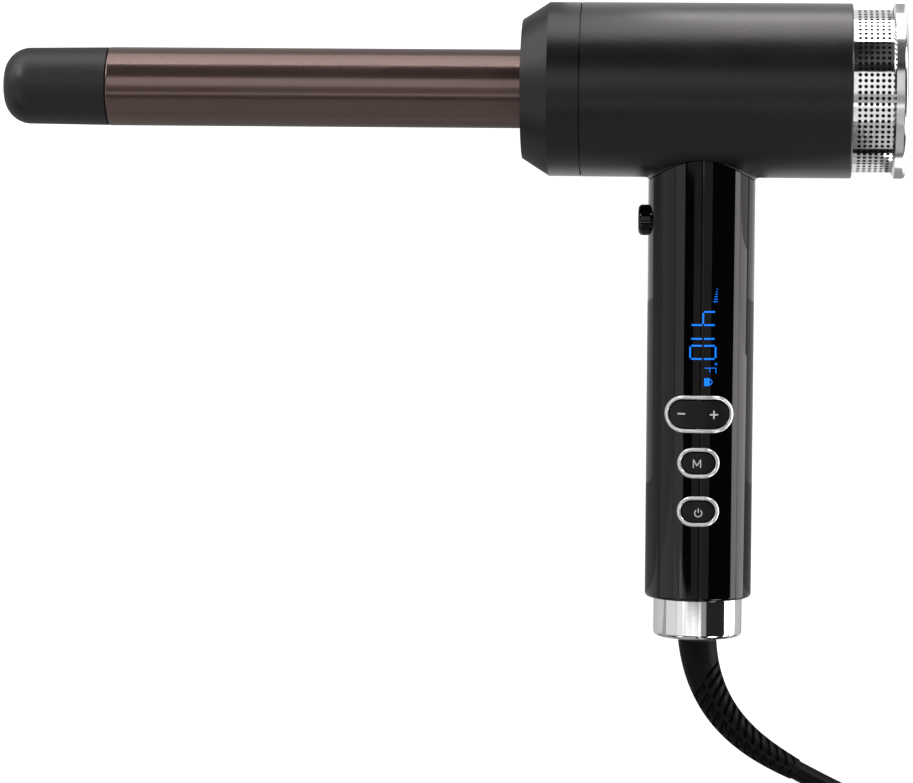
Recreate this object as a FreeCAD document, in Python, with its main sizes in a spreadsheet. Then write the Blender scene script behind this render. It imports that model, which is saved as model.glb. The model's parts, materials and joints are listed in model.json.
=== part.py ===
import FreeCAD, Part
import math
import os
import Sketcher

# Curling wand with a cool-air fan: a hot barrel with a cool tip, a round head that holds the fan,
# a handle with a hidden display and keys, and a swivelling mains cord.
#
# Design frame, in millimetres: the origin is where the head's axis meets the handle's axis,
# X runs along the barrel (its tip points to -X), the handle points to -Z and the keys face -Y.
# Every sub-part of the wand is modelled there, and one placement lays them all on their back
# on a table, so that the head's side and the edge of the handle's end touch it at z = 0.

Vector = FreeCAD.Vector
Placement = FreeCAD.Placement
Rotation = FreeCAD.Rotation

DIMENSIONS = {
    # barrel and cool tip, along X
    "barrel_rad": 12.7, "barrel_wall": 0.6, "barrel_front": -192.2, "barrel_back": -46.0,
    "tip_front": -226.5, "tip_rad": 12.25, "tip_base_rad": 12.6, "tip_round": 8.6,
    "core_front": -182.6, "core_back": -72.0, "heater_half": 1.3, "core_gap": 1.65,
    # nose collar, with the air outlet round the barrel
    "collar_front": -57.9, "face_rad": 22.4, "face_hole_rad": 20.6, "chamfer_end": -49.25,
    "collar_rad": 28.0, "collar_back": -39.1,
    # head housing, fan and intake
    "head_rad": 28.05, "head_wall": 1.9, "head_front": -38.7, "head_back": 47.8, "head_round": 0.5,
    "saddle_rad": 25.0, "saddle_drop": 4.2, "seam_gap": 0.3,
    "motor_rad": 12.0, "motor_back": -4.0, "motor_face": 26.0, "shaft_rad": 1.2,
    "fan_front": 31.0, "fan_depth": 12.0, "fan_hub_rad": 8.0, "fan_reach": 24.0,
    "grille_rad": 26.05, "grille_wall": 0.8, "grille_back": 60.5,
    "rim_rad": 28.0, "rim_back": 65.0,
    # handle, along -Z
    "sleeve_rad": 17.2, "sleeve_wall": 1.6, "sleeve_end": -163.8, "end_round": 1.0,
    "chassis_rad": 15.4, "chassis_wall": 1.8,
    "board_front": -9.4, "board_back": -7.8,
    # keys: half sizes of the chrome bezels' outlines, and the keys' places along the handle
    "bezel_width": 1.35, "key_gap": 0.3, "bezel_proud": 0.2,
    "rocker_half_long": 11.1, "rocker_half_wide": 6.0, "rocker_place": -103.25,
    "key_half_long": 6.8, "key_half_wide": 4.9, "mode_place": -118.9, "power_place": -134.5,
    # cool-air trigger on the side of the handle
    "trigger_rad": 4.95, "trigger_place": -41.9, "trigger_reach": 20.35, "trigger_travel": 1.5,
    # end ring and cord swivel
    "ring_rad": 14.3, "ring_end": -176.6, "neck_rad": 6.5, "neck_play": 0.08, "hub_end": -178.0,
    # strain relief and cord
    "relief_start_rad": 6.25, "relief_end_rad": 3.55, "cord_rad": 3.2,
    "coil_mid_rad": 35.2, "coil_x": 159.0, "coil_y": -185.3,
    # where the design frame's origin lands when the wand lies on the table
    "origin_x": 80.75, "origin_y": 97.88,
}

BARREL_STEP = 0.2
BARREL_LIP_RAD = 11.6
SPRING_HALF_TURNS = 8
OUTLET_VANES = 12
GRILLE_SLOTS = 44
GRILLE_SLOT_HALF = 0.62
FAN_BLADES = 7
COIL_TURNS_ACROSS = 4
COIL_LAYERS = 3

# Route of the cord from the strain relief to the coil: points on the table's own frame.
CORD_ROUTE = [
    (113.15, -122.8, 6.7),
    (125.8, -129.6, 4.0),
    (141.2, -136.3, 3.2),
    (159.0, -140.5, 3.2),
]

document = FreeCAD.newDocument("curling_wand")
sheet = document.addObject("Spreadsheet::Sheet", "Dims")


class Size:
    """A length that carries its number and the spreadsheet expression it comes from."""

    def __init__(self, value, text):
        self.value = value
        self.text = text

    def combined(self, other, sign):
        other = as_size(other)
        symbol = "+" if sign > 0 else "-"
        return Size(self.value + sign * other.value, "(%s %s %s)" % (self.text, symbol, other.text))

    def __add__(self, other):
        return self.combined(other, 1)

    def __radd__(self, other):
        return as_size(other).combined(self, 1)

    def __sub__(self, other):
        return self.combined(other, -1)

    def __rsub__(self, other):
        return as_size(other).combined(self, -1)

    def __neg__(self):
        return Size(-self.value, "(-1 * %s)" % self.text)

    def __mul__(self, factor):
        return Size(self.value * factor, "(%s * %g)" % (self.text, factor))


def as_size(number):
    return number if isinstance(number, Size) else Size(float(number), "(%g)" % number)


class Dimensions:
    """Names of the spreadsheet's cells, read as sizes."""

    def __getattr__(self, alias):
        return Size(DIMENSIONS[alias], "Dims.%s" % alias)


dim = Dimensions()


def fill_sheet():
    for row, (alias, value) in enumerate(DIMENSIONS.items(), start=1):
        sheet.set("A%d" % row, alias)
        sheet.set("B%d" % row, "%g" % value)
        sheet.setAlias("B%d" % row, alias)
    document.recompute()


# ---- helpers for Part primitives ----

def bind(thing, name, size):
    """Sets a property from a size, and ties it to the sheet when the size comes from there."""
    size = as_size(size)
    if "Dims" in size.text:
        thing.setExpression(name, size.text)
    elif name.startswith("Placement.Base."):
        setattr(thing.Placement.Base, name[-1], size.value)
    else:
        setattr(thing, name, size.value)


AXIS_TURN = {
    "X": Rotation(Vector(0, 0, 1), Vector(1, 0, 0)),
    "Y": Rotation(Vector(0, 0, 1), Vector(0, 1, 0)),
    "Z": Rotation(),
}


def rod(name, axis, start, end, radius, centre=(0, 0, 0)):
    """A cylinder along one design axis; centre gives its other two coordinates."""
    start = as_size(start)
    piece = document.addObject("Part::Cylinder", name)
    bind(piece, "Radius", radius)
    bind(piece, "Height", end - start)
    base = Vector(*centre)
    setattr(base, axis.lower(), start.value)
    piece.Placement = Placement(base, AXIS_TURN[axis])
    if "Dims" in start.text:
        piece.setExpression("Placement.Base.%s" % axis.lower(), start.text)
    return piece


def block(name, low, high):
    """A box between two corners."""
    piece = document.addObject("Part::Box", name)
    base = Vector()
    for letter, side, lowest, highest in zip("xyz", ("Length", "Width", "Height"), low, high):
        lowest = as_size(lowest)
        bind(piece, side, as_size(highest) - lowest)
        setattr(base, letter, lowest.value)
    piece.Placement = Placement(base, Rotation())
    for letter, lowest in zip("xyz", low):
        if isinstance(lowest, Size):
            piece.setExpression("Placement.Base.%s" % letter, lowest.text)
    return piece


def spun(piece, axis, degrees):
    """Turns a primitive about a design axis through the origin."""
    for letter in "xyz":
        piece.setExpression("Placement.Base.%s" % letter, None)
    document.recompute()
    turn = Placement(Vector(), Rotation(axis, degrees))
    piece.Placement = turn.multiply(piece.Placement)
    return piece


def fuse(name, pieces):
    joined = document.addObject("Part::MultiFuse", name)
    joined.Shapes = pieces
    return joined


def common(name, pieces):
    shared = document.addObject("Part::MultiCommon", name)
    shared.Shapes = pieces
    return shared


def cut(name, base, tools):
    carved = document.addObject("Part::Cut", name)
    carved.Base = base
    carved.Tool = tools[0] if len(tools) == 1 else fuse(name + "_tools", tools)
    return carved


def group(name, pieces):
    bunch = document.addObject("Part::Compound", name)
    bunch.Links = pieces
    return bunch


def tube(name, axis, start, end, outer, inner):
    return cut(name, rod(name + "_outside", axis, start, end, outer),
               [rod(name + "_inside", axis, as_size(start) - 1, as_size(end) + 1, inner)])


# ---- helpers for PartDesign bodies ----

def new_body(name):
    return document.addObject("PartDesign::Body", name)


def origin_feature(body, role):
    return [feature for feature in body.Origin.OriginFeatures if feature.Role == role][0]


def sketch_on(body, role, name, lift=0.0):
    """A sketch on one of the body's origin planes, lifted along the plane's normal."""
    sketch = body.newObject("Sketcher::SketchObject", "%s_%s" % (body.Name, name))
    sketch.AttachmentSupport = [(origin_feature(body, role), "")]
    sketch.MapMode = "FlatFace"
    sketch.AttachmentOffset = Placement(Vector(0, 0, lift), Rotation())
    return sketch


def pin_point(sketch, curve, end, point):
    """Fixes one point of a curve at two sizes measured from the sketch's origin."""
    for letter, axis_line, coordinate in (("X", -2, point[0]), ("Y", -1, point[1])):
        size = as_size(coordinate)
        if abs(size.value) < 1e-9:
            sketch.addConstraint(Sketcher.Constraint("PointOnObject", curve, end, axis_line))
            continue
        index = sketch.addConstraint(
            Sketcher.Constraint("Distance" + letter, -1, 1, curve, end, size.value))
        if "Dims" in size.text:
            sketch.setExpression("Constraints[%d]" % index, size.text)


def draw_outline(sketch, points):
    """A closed outline of straight lines through the points."""
    values = [Vector(as_size(u).value, as_size(v).value, 0) for u, v in points]
    count = len(values)
    first = sketch.GeometryCount
    for index in range(count):
        sketch.addGeometry(Part.LineSegment(values[index], values[(index + 1) % count]), False)
    for index in range(count):
        following = first + (index + 1) % count
        sketch.addConstraint(Sketcher.Constraint("Coincident", first + index, 2, following, 1))
    for index, point in enumerate(points):
        pin_point(sketch, first + index, 1, point)


def draw_circle(sketch, centre, radius):
    middle = Vector(as_size(centre[0]).value, as_size(centre[1]).value, 0)
    curve = sketch.addGeometry(Part.Circle(middle, Vector(0, 0, 1), as_size(radius).value), False)
    pin_point(sketch, curve, 3, centre)
    index = sketch.addConstraint(Sketcher.Constraint("Radius", curve, as_size(radius).value))
    if "Dims" in as_size(radius).text:
        sketch.setExpression("Constraints[%d]" % index, as_size(radius).text)


def draw_stadium(sketch, place, half_long, half_wide):
    """A long round-ended outline, centred on the sketch's vertical axis at the given height."""
    reach = half_long - half_wide
    a, r, v = reach.value, half_wide.value, place.value
    up = Vector(0, 0, 1)
    first = sketch.GeometryCount
    sketch.addGeometry(Part.LineSegment(Vector(-a, v + r, 0), Vector(a, v + r, 0)), False)
    right = Part.Circle(Vector(a, v, 0), up, r)
    sketch.addGeometry(Part.ArcOfCircle(right, -math.pi / 2, math.pi / 2), False)
    sketch.addGeometry(Part.LineSegment(Vector(a, v - r, 0), Vector(-a, v - r, 0)), False)
    left = Part.Circle(Vector(-a, v, 0), up, r)
    sketch.addGeometry(Part.ArcOfCircle(left, math.pi / 2, 3 * math.pi / 2), False)
    top, right_end, bottom, left_end = range(first, first + 4)
    sketch.addConstraint(Sketcher.Constraint("Tangent", top, 2, right_end, 2))
    sketch.addConstraint(Sketcher.Constraint("Tangent", right_end, 1, bottom, 1))
    sketch.addConstraint(Sketcher.Constraint("Tangent", bottom, 2, left_end, 2))
    sketch.addConstraint(Sketcher.Constraint("Tangent", left_end, 1, top, 1))
    pin_point(sketch, right_end, 3, (reach, place))
    pin_point(sketch, left_end, 3, (-reach, place))
    index = sketch.addConstraint(Sketcher.Constraint("Radius", right_end, r))
    sketch.setExpression("Constraints[%d]" % index, half_wide.text)


def revolve(body, points, axis):
    """Turns a closed outline in the XZ plane about the body's X or Z axis."""
    sketch = sketch_on(body, "XZ_Plane", "profile")
    draw_outline(sketch, points)
    feature = body.newObject("PartDesign::Revolution", body.Name + "_turned")
    feature.Profile = sketch
    feature.ReferenceAxis = (origin_feature(body, axis + "_Axis"), [""])
    feature.Angle = 360
    document.recompute()
    return feature


def pad(body, sketch, length, backwards=False):
    feature = body.newObject("PartDesign::Pad", sketch.Name + "_pad")
    feature.Profile = sketch
    bind(feature, "Length", length)
    feature.Reversed = backwards
    document.recompute()
    return feature


def pocket(body, sketch, length, backwards=False, both_ways=False):
    """Cuts a sketch out of the body, and stops the build if nothing was cut."""
    before = body.Shape.Volume
    feature = body.newObject("PartDesign::Pocket", sketch.Name + "_cut")
    feature.Profile = sketch
    bind(feature, "Length", length)
    feature.Reversed = backwards
    feature.Midplane = both_ways
    document.recompute()
    if body.Shape.Volume > before - 0.01:
        raise RuntimeError("%s cut nothing" % feature.Name)
    return feature


def repeat_round(body, feature, axis, count):
    pattern = body.newObject("PartDesign::PolarPattern", feature.Name + "_ring")
    pattern.Originals = [feature]
    pattern.Axis = (origin_feature(body, axis + "_Axis"), [""])
    pattern.Angle = 360
    pattern.Occurrences = count
    body.Tip = pattern
    document.recompute()
    return pattern


def circle_edges(shape, axis, place, radius):
    """Names of the round edges of one radius at one place along a design axis."""
    names = []
    for index, edge in enumerate(shape.Edges, start=1):
        curve = edge.Curve
        if not isinstance(curve, Part.Circle) or abs(curve.Radius - radius.value) > 0.02:
            continue
        if abs(getattr(curve.Center, axis.lower()) - place.value) < 0.02:
            names.append("Edge%d" % index)
    return names


def round_edge(body, feature, axis, place, radius, amount):
    names = circle_edges(feature.Shape, axis, as_size(place), as_size(radius))
    if not names:
        raise RuntimeError("%s has no edge to round" % body.Name)
    fillet = body.newObject("PartDesign::Fillet", feature.Name + "_round")
    fillet.Base = (feature, names)
    bind(fillet, "Radius", amount)
    document.recompute()
    return fillet


# ---- paths ----

def bent_wire(points, report=""):
    """Straight runs joined by tangent arcs, each as large as its two runs allow."""
    points = [Vector(*point) for point in points]
    edges = []
    start = points[0]
    radii = []
    for before, corner, after in zip(points, points[1:], points[2:]):
        incoming = (corner - before).normalize()
        outgoing = (after - corner).normalize()
        half_turn = incoming.getAngle(outgoing) / 2
        setback = 0.45 * min(before.distanceToPoint(corner), corner.distanceToPoint(after))
        radius = setback / math.tan(half_turn)
        inward = (outgoing - incoming).normalize()
        arc_start = corner - incoming * setback
        arc_end = corner + outgoing * setback
        arc_middle = corner + inward * (radius / math.cos(half_turn) - radius)
        edges.append(Part.LineSegment(start, arc_start).toShape())
        edges.append(Part.Arc(arc_start, arc_middle, arc_end).toShape())
        start = arc_end
        radii.append(radius)
    edges.append(Part.LineSegment(start, points[-1]).toShape())
    if report:
        print("%s arc radii in mm: %s" % (report, ", ".join("%.1f" % radius for radius in radii)))
    return Part.Wire(edges)


def round_section(centre, direction, radius):
    return Part.Wire([Part.Circle(centre, direction, radius).toShape()])


def swept_tube(points, radius, report=""):
    """A round solid along a bent wire, compared with its section times its length."""
    spine = bent_wire(points, report)
    direction = Vector(*points[1]) - Vector(*points[0])
    section = round_section(Vector(*points[0]), direction, radius)
    solid = spine.makePipeShell([section], True, False)
    expected = math.pi * radius ** 2 * spine.Length
    if abs(solid.Volume - expected) > 0.02 * expected:
        raise RuntimeError("a tube's volume is off: %.1f, not %.1f" % (solid.Volume, expected))
    if report:
        print("%s length in mm: %.1f" % (report, spine.Length))
    return solid


def shaped(name, shape):
    """A sub-part whose shape is made by Part's own functions."""
    piece = document.addObject("Part::Feature", name)
    piece.Shape = shape
    return piece


# ---- barrel and cool tip ----

def cool_tip():
    body = new_body("cool_tip")
    base = dim.barrel_front - 0.3
    turned = revolve(body, [
        (dim.tip_front, 0), (dim.tip_front, dim.tip_rad), (base, dim.tip_base_rad), (base, 11.5),
        (base + 6.9, 11.5), (base + 6.9, 9.0), (dim.tip_front + 4.9, 9.0), (dim.tip_front + 4.9, 0),
    ], "X")
    round_edge(body, turned, "X", dim.tip_front, dim.tip_rad, dim.tip_round)
    return body


def tip_insulator():
    return rod("tip_insulator", "X", dim.core_front - 2.6, dim.core_front - 1.0, 12.0)


def barrel_tube():
    """Polished tube; its base inside the collar is a little slimmer."""
    body = new_body("barrel_tube")
    inner = dim.barrel_rad - dim.barrel_wall
    base_rad = dim.barrel_rad - BARREL_STEP
    lip = dim.barrel_front + dim.barrel_wall
    step = dim.collar_front - 0.4
    turned = revolve(body, [
        (dim.barrel_front, BARREL_LIP_RAD), (dim.barrel_front, dim.barrel_rad),
        (step, dim.barrel_rad), (step, base_rad), (dim.barrel_back, base_rad), (dim.barrel_back, inner),
        (lip, inner), (lip, BARREL_LIP_RAD),
    ], "X")
    round_edge(body, turned, "X", dim.barrel_front, dim.barrel_rad, 0.55)
    return body


def heater_core(name, side):
    """One half of the aluminium core that presses the heater plate to the barrel's wall."""
    low, high = (dim.core_gap, 13.0) if side > 0 else (-13.0, -dim.core_gap)
    hollow_low, hollow_high = (4.0, 13.0) if side > 0 else (-13.0, -4.0)
    half = common(name + "_half", [
        rod(name + "_round", "X", dim.core_front, dim.core_back, 12.0),
        block(name + "_side", (dim.core_front, -13, low), (dim.core_back, 13, high)),
    ])
    hollow = common(name + "_hollow", [
        rod(name + "_bore", "X", dim.core_front - 1, dim.core_back + 1, 9.4),
        block(name + "_floor", (dim.core_front - 1, -13, hollow_low), (dim.core_back + 1, 13, hollow_high)),
    ])
    return cut(name, half, [hollow])


def heater_core_upper():
    return heater_core("heater_core_upper", 1)


def heater_core_lower():
    return heater_core("heater_core_lower", -1)


def ptc_heater():
    half = dim.heater_half
    return block("ptc_heater", (dim.core_front + 6, -8, -half), (dim.core_back - 6, 8, half))


def heater_spring():
    """Leaf spring that presses the heater plate against the lower core."""
    return block("heater_spring", (dim.core_front + 20, -4, dim.heater_half), (dim.core_back - 24, 4, 1.62))


def thermal_sensor():
    return rod("thermal_sensor", "X", dim.core_back + 0.4, dim.core_back + 5.4, 1.4)


def thermal_fuse():
    return rod("thermal_fuse", "Z", -5, 5, 1.6, centre=(-60.5, -6.0, 0))


def barrel_bracket():
    """Ring that grips the barrel's base and stands off the collar on three arms."""
    back = dim.barrel_back + 2.0
    arms = [spun(block("bracket_arm_%d" % index, (-49.4, -1.5, 14), (-45, 1.5, 24.1)),
                 Vector(1, 0, 0), 60 + 120 * index) for index in range(3)]
    ring = rod("bracket_ring", "X", -50, back, 15.5)
    return cut("barrel_bracket", fuse("bracket_whole", [ring] + arms), [
        rod("bracket_seat", "X", -51, dim.barrel_back + 0.1, dim.barrel_rad - BARREL_STEP + 0.05),
        rod("bracket_wire_hole", "X", -47, back + 1, 8.0),
    ])


# ---- collar and air outlet ----

def nose_collar():
    body = new_body("nose_collar")
    revolve(body, [
        (dim.collar_front, dim.face_hole_rad), (dim.collar_front, dim.face_rad),
        (dim.chamfer_end, dim.collar_rad), (dim.collar_back, dim.collar_rad),
        (dim.collar_back, 26.0), (dim.head_front + 4.4, 26.0), (dim.head_front + 4.4, 24.2),
        (dim.chamfer_end - 0.6, 24.2), (dim.collar_front + 3.1, dim.face_hole_rad),
    ], "X")
    return body


def air_outlet_ring():
    front = dim.collar_front + 0.8
    back = dim.collar_front + 7.0
    vanes = [spun(block("vane_%d" % index, (-57.6, -0.5, 14.2), (-52.2, 0.5, 19.8)), Vector(1, 0, 0),
                  360.0 / OUTLET_VANES * index) for index in range(OUTLET_VANES)]
    outer = tube("outlet_outer", "X", front, back, dim.face_hole_rad - 0.1, 19.4)
    inner = tube("outlet_inner", "X", front, back, 14.6, 13.1)
    return fuse("air_outlet_ring", [outer, inner] + vanes)


# ---- head, fan and intake ----

def head_housing():
    """Round housing with a saddle and a stub for the handle under it."""
    inner = dim.head_rad - dim.head_wall
    saddle_rad = dim.saddle_rad - dim.seam_gap
    saddle_centre = (0, 0, -DIMENSIONS["saddle_drop"])
    outside = rod("head_outside", "X", dim.head_front, dim.head_back, dim.head_rad)
    saddle = common("head_saddle", [
        rod("saddle_round", "Z", -40, 0, dim.sleeve_rad),
        rod("saddle_depth", "X", -20, 20, saddle_rad, centre=saddle_centre),
    ])
    stub = rod("head_stub", "Z", -34.5, 0, dim.sleeve_rad - dim.sleeve_wall - 0.15)
    whole = fuse("head_whole", [outside, saddle, stub])
    hollow = cut("head_hollow", whole, [
        rod("head_inside", "X", dim.head_front - 1, dim.head_back + 1, inner),
        rod("stub_inside", "Z", -36, 0, 13.4),
    ])
    document.recompute()
    rounded = document.addObject("Part::Fillet", "head_housing")
    rounded.Base = hollow
    rim = circle_edges(hollow.Shape, "X", dim.head_back, dim.head_rad)
    amount = DIMENSIONS["head_round"]
    rounded.Edges = [(int(name[4:]), amount, amount) for name in rim]
    return rounded


MOTOR_SCREW_PLACES = (-8.0, 8.0)


def motor_mount():
    cup = rod("mount_cup", "X", 14.0, 28.2, 13.6)
    arms = [spun(block("mount_arm_%d" % index, (16.0, -1.0, 13.0), (28.2, 1.0, 26.1)), Vector(1, 0, 0),
                 120 * index) for index in range(3)]
    holes = [rod("mount_hole_%d" % index, "X", 24, 30, 1.05, centre=(0, y, 0))
             for index, y in enumerate(MOTOR_SCREW_PLACES)]
    return cut("motor_mount", fuse("mount_whole", [cup] + arms), holes + [
        rod("mount_seat", "X", 13.0, dim.motor_face + 0.1, dim.motor_rad + 0.1),
        rod("mount_eye", "X", 25.0, 30.0, 4.0),
    ])


def fan_motor():
    can = rod("motor_can", "X", dim.motor_back, dim.motor_face, dim.motor_rad)
    boss = rod("motor_boss", "X", dim.motor_face - 1, dim.motor_face + 2.6, 3.4)
    tags = [block("motor_tag_%d" % index, (-7.0, y - 1.0, -5.3), (-3.5, y + 1.0, -4.7))
            for index, y in enumerate((-4.0, 4.0))]
    holes = [rod("motor_hole_%d" % index, "X", 23.4, 27, 1.0, centre=(0, y, 0))
             for index, y in enumerate(MOTOR_SCREW_PLACES)]
    return cut("fan_motor", fuse("motor_whole", [can, boss] + tags), holes + [
        rod("motor_bearing", "X", 8.0, 30.0, dim.shaft_rad + 0.05),
    ])


def screw(name, axis, head_start, head_length, head_rad, tip, shank_rad, centre):
    """A small pan-head screw along a design axis, with a cross slot in its head."""
    way = 1 if tip < head_start else -1
    head_end = head_start + way * head_length
    low, high = sorted((head_start, head_end))
    head = rod(name + "_head", axis, low, high, head_rad, centre)
    low, high = sorted((head_start, tip))
    shank = rod(name + "_shank", axis, low, high, shank_rad, centre)
    slots = []
    for index in range(2):
        half = {"x": 0.25, "y": 0.25, "z": 0.25}
        across = [letter for letter in "xyz" if letter != axis.lower()][index]
        half[across] = head_rad * 0.7
        middle = dict(zip("xyz", centre))
        middle[axis.lower()] = head_end
        half[axis.lower()] = head_length * 0.45
        slots.append(block("%s_slot_%d" % (name, index),
                           [middle[letter] - half[letter] for letter in "xyz"],
                           [middle[letter] + half[letter] for letter in "xyz"]))
    return cut(name, fuse(name + "_blank", [head, shank]), slots)


def motor_screws():
    return group("motor_screws", [
        screw("motor_screw_%d" % index, "X", 28.2, 1.3, 1.8, 23.6, 0.95, (0, y, 0))
        for index, y in enumerate(MOTOR_SCREW_PLACES)])


def fan_shaft():
    return rod("fan_shaft", "X", 10.0, dim.fan_front + dim.fan_depth + 1.5, dim.shaft_rad)


def impeller():
    """Axial fan: a hub with pitched blades, pressed on the motor's shaft."""
    body = new_body("impeller")
    front = dim.fan_front
    back = dim.fan_front + dim.fan_depth
    revolve(body, [(front, dim.shaft_rad), (front, dim.fan_hub_rad - 1.5), (front + 1.5, dim.fan_hub_rad),
                   (back, dim.fan_hub_rad), (back, dim.shaft_rad)], "X")
    blade = sketch_on(body, "XY_Plane", "blade", lift=DIMENSIONS["fan_hub_rad"] - 1.5)
    draw_outline(blade, [(front + 1.6, -5.6), (front + 2.8, -5.6), (back - 1.0, 5.2), (back - 2.2, 5.2)])
    blade_pad = pad(body, blade, dim.fan_reach - dim.fan_hub_rad + 1.5)
    repeat_round(body, blade_pad, "X", FAN_BLADES)
    return body


def intake_grille():
    """Perforated chrome band with a spigot that seats in the head."""
    body = new_body("intake_grille")
    inner = dim.grille_rad - dim.grille_wall
    revolve(body, [(dim.head_back - 5, inner), (dim.head_back - 5, dim.grille_rad),
                   (dim.grille_back, dim.grille_rad), (dim.grille_back, inner)], "X")
    front, back = dim.head_back + 2.0, dim.grille_back - 1.2
    slot = sketch_on(body, "XY_Plane", "slot")
    draw_outline(slot, [(front, -GRILLE_SLOT_HALF), (back, -GRILLE_SLOT_HALF),
                        (back, GRILLE_SLOT_HALF), (front, GRILLE_SLOT_HALF)])
    first = pocket(body, slot, dim.grille_rad + 2, backwards=True)
    repeat_round(body, first, "X", GRILLE_SLOTS)
    return body


def dust_filter():
    return tube("dust_filter", "X", dim.head_back + 0.4, dim.grille_back - 0.2, 24.9, 24.4)


RIM_BORE = 24.7


def rear_rim():
    body = new_body("rear_rim")
    front = dim.grille_back + 0.1
    turned = revolve(body, [
        (front, RIM_BORE), (front, 26.6), (front + 0.7, dim.rim_rad), (dim.rim_back, dim.rim_rad),
        (dim.rim_back, RIM_BORE),
    ], "X")
    round_edge(body, turned, "X", dim.rim_back, dim.rim_rad, 1.2)
    return body


def rear_cap():
    """Dished cover that closes the back of the intake."""
    body = new_body("rear_cap")
    front = dim.grille_back + 0.3
    revolve(body, [(front, 0), (front, 24.5), (dim.rim_back - 0.6, 24.5), (dim.rim_back - 0.6, 23.0),
                   (front + 2.2, 19.0), (front + 1.6, 0)], "X")
    return body


# ---- handle ----

KEY_PLACES = {
    "rocker": (dim.rocker_place, dim.rocker_half_long, dim.rocker_half_wide),
    "mode": (dim.mode_place, dim.key_half_long, dim.key_half_wide),
    "power": (dim.power_place, dim.key_half_long, dim.key_half_wide),
}


def handle_sleeve():
    body = new_body("handle_sleeve")
    inner = dim.sleeve_rad - dim.sleeve_wall
    turned = revolve(body, [
        (inner, -16), (dim.sleeve_rad, -16), (dim.sleeve_rad, dim.sleeve_end),
        (dim.ring_rad + 0.1, dim.sleeve_end), (dim.ring_rad + 0.1, dim.sleeve_end + 1.6),
        (inner, dim.sleeve_end + 1.6),
    ], "Z")
    round_edge(body, turned, "Z", dim.sleeve_end, dim.sleeve_rad, dim.end_round)
    saddle = sketch_on(body, "YZ_Plane", "saddle")
    draw_circle(saddle, (0, -dim.saddle_drop), dim.saddle_rad)
    pocket(body, saddle, 50, both_ways=True)
    for key, (place, half_long, half_wide) in KEY_PLACES.items():
        window = sketch_on(body, "XZ_Plane", key + "_window")
        draw_stadium(window, place, half_long + 0.03, half_wide + 0.03)
        pocket(body, window, 20, backwards=True)
    hole = sketch_on(body, "YZ_Plane", "trigger_hole")
    draw_circle(hole, (0, dim.trigger_place), dim.trigger_rad + 0.2)
    pocket(body, hole, 20)
    return body


def bezel(key):
    """Chrome ring that follows the sleeve's curve round a key."""
    place, half_long, half_wide = KEY_PLACES[key]
    body = new_body(key + "_bezel_outline")
    ring = sketch_on(body, "XZ_Plane", "ring", lift=8.0)
    draw_stadium(ring, place, half_long, half_wide)
    draw_stadium(ring, place, half_long - dim.bezel_width, half_wide - dim.bezel_width)
    pad(body, ring, 12)
    skin = tube(key + "_bezel_skin", "Z", place - 8, place + 8, dim.sleeve_rad + dim.bezel_proud, 15.75)
    return common("bezel_" + key, [body, skin])


def bezel_rocker():
    return bezel("rocker")


def bezel_mode():
    return bezel("mode")


def bezel_power():
    return bezel("power")


def key_cap(key, depth):
    """A key's head: it fills its bezel, its face follows the sleeve's curve."""
    place, half_long, half_wide = KEY_PLACES[key]
    inset = dim.bezel_width + dim.key_gap
    body = new_body(key + "_key_outline")
    outline = sketch_on(body, "XZ_Plane", "face", lift=depth)
    draw_stadium(outline, place, half_long - inset, half_wide - inset)
    pad(body, outline, 8)
    face = rod(key + "_key_face", "Z", place - 8, place + 8, dim.sleeve_rad + 0.05)
    return common(key + "_key_cap", [body, face])


def rocker_key():
    """Rocker that tilts about a pin along the handle, with a foot over each switch."""
    feet = [rod("rocker_foot_%d" % index, "Y", -14.0, -12.6, 1.1, centre=(x, 0, DIMENSIONS["rocker_place"]))
            for index, x in enumerate((-6.5, 6.5))]
    whole = fuse("rocker_whole", [key_cap("rocker", 12.9)] + feet)
    bore = rod("rocker_bore", "Z", dim.rocker_place - 6, dim.rocker_place + 6, 0.75, centre=(0, -14.2, 0))
    return cut("rocker_key", whole, [bore])


def push_key(key):
    """Push key with a stem that reaches its switch."""
    place = KEY_PLACES[key][0]
    stem = rod(key + "_stem", "Y", -15.0, -12.6, 1.2, centre=(0, 0, place.value))
    return fuse(key + "_key", [key_cap(key, 14.4), stem])


def mode_key():
    return push_key("mode")


def power_key():
    return push_key("power")


def rocker_pin():
    return rod("rocker_pin", "Z", dim.rocker_place - 5.9, dim.rocker_place + 5.9, 0.7, centre=(0, -14.2, 0))


def rocker_frame():
    """Two posts on the board that hold the ends of the rocker's pin."""
    low = dim.rocker_place - 5.9
    posts = [block("post_low", (-2, -15.0, low), (2, dim.board_front, low + 0.9)),
             block("post_high", (-2, -15.0, low + 10.9), (2, dim.board_front, low + 11.8))]
    foot = block("post_foot", (-2, -10.2, low), (2, dim.board_front, low + 11.8))
    hole = rod("post_hole", "Z", low - 1, low + 13, 0.71, centre=(0, -14.2, 0))
    return cut("rocker_frame", fuse("posts", posts + [foot]), [hole])


def handle_chassis():
    """Back half of the inner frame, with a window for the trigger."""
    shell = tube("chassis_tube", "Z", -157, -36, dim.chassis_rad, dim.chassis_rad - dim.chassis_wall)
    return cut("handle_chassis", shell, [
        block("chassis_front", (-20, -20, -158), (20, -3, -35)),
        block("chassis_window", (-20, -4, -49), (-9, 7.5, -35)),
    ])


def display_module():
    return block("display_module", (-5.2, -13.0, -96.0), (7.4, dim.board_front, -60.5))


SWITCH_PLACES = [(-6.5, "rocker_place"), (6.5, "rocker_place"), (0.0, "mode_place"), (0.0, "power_place")]


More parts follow.
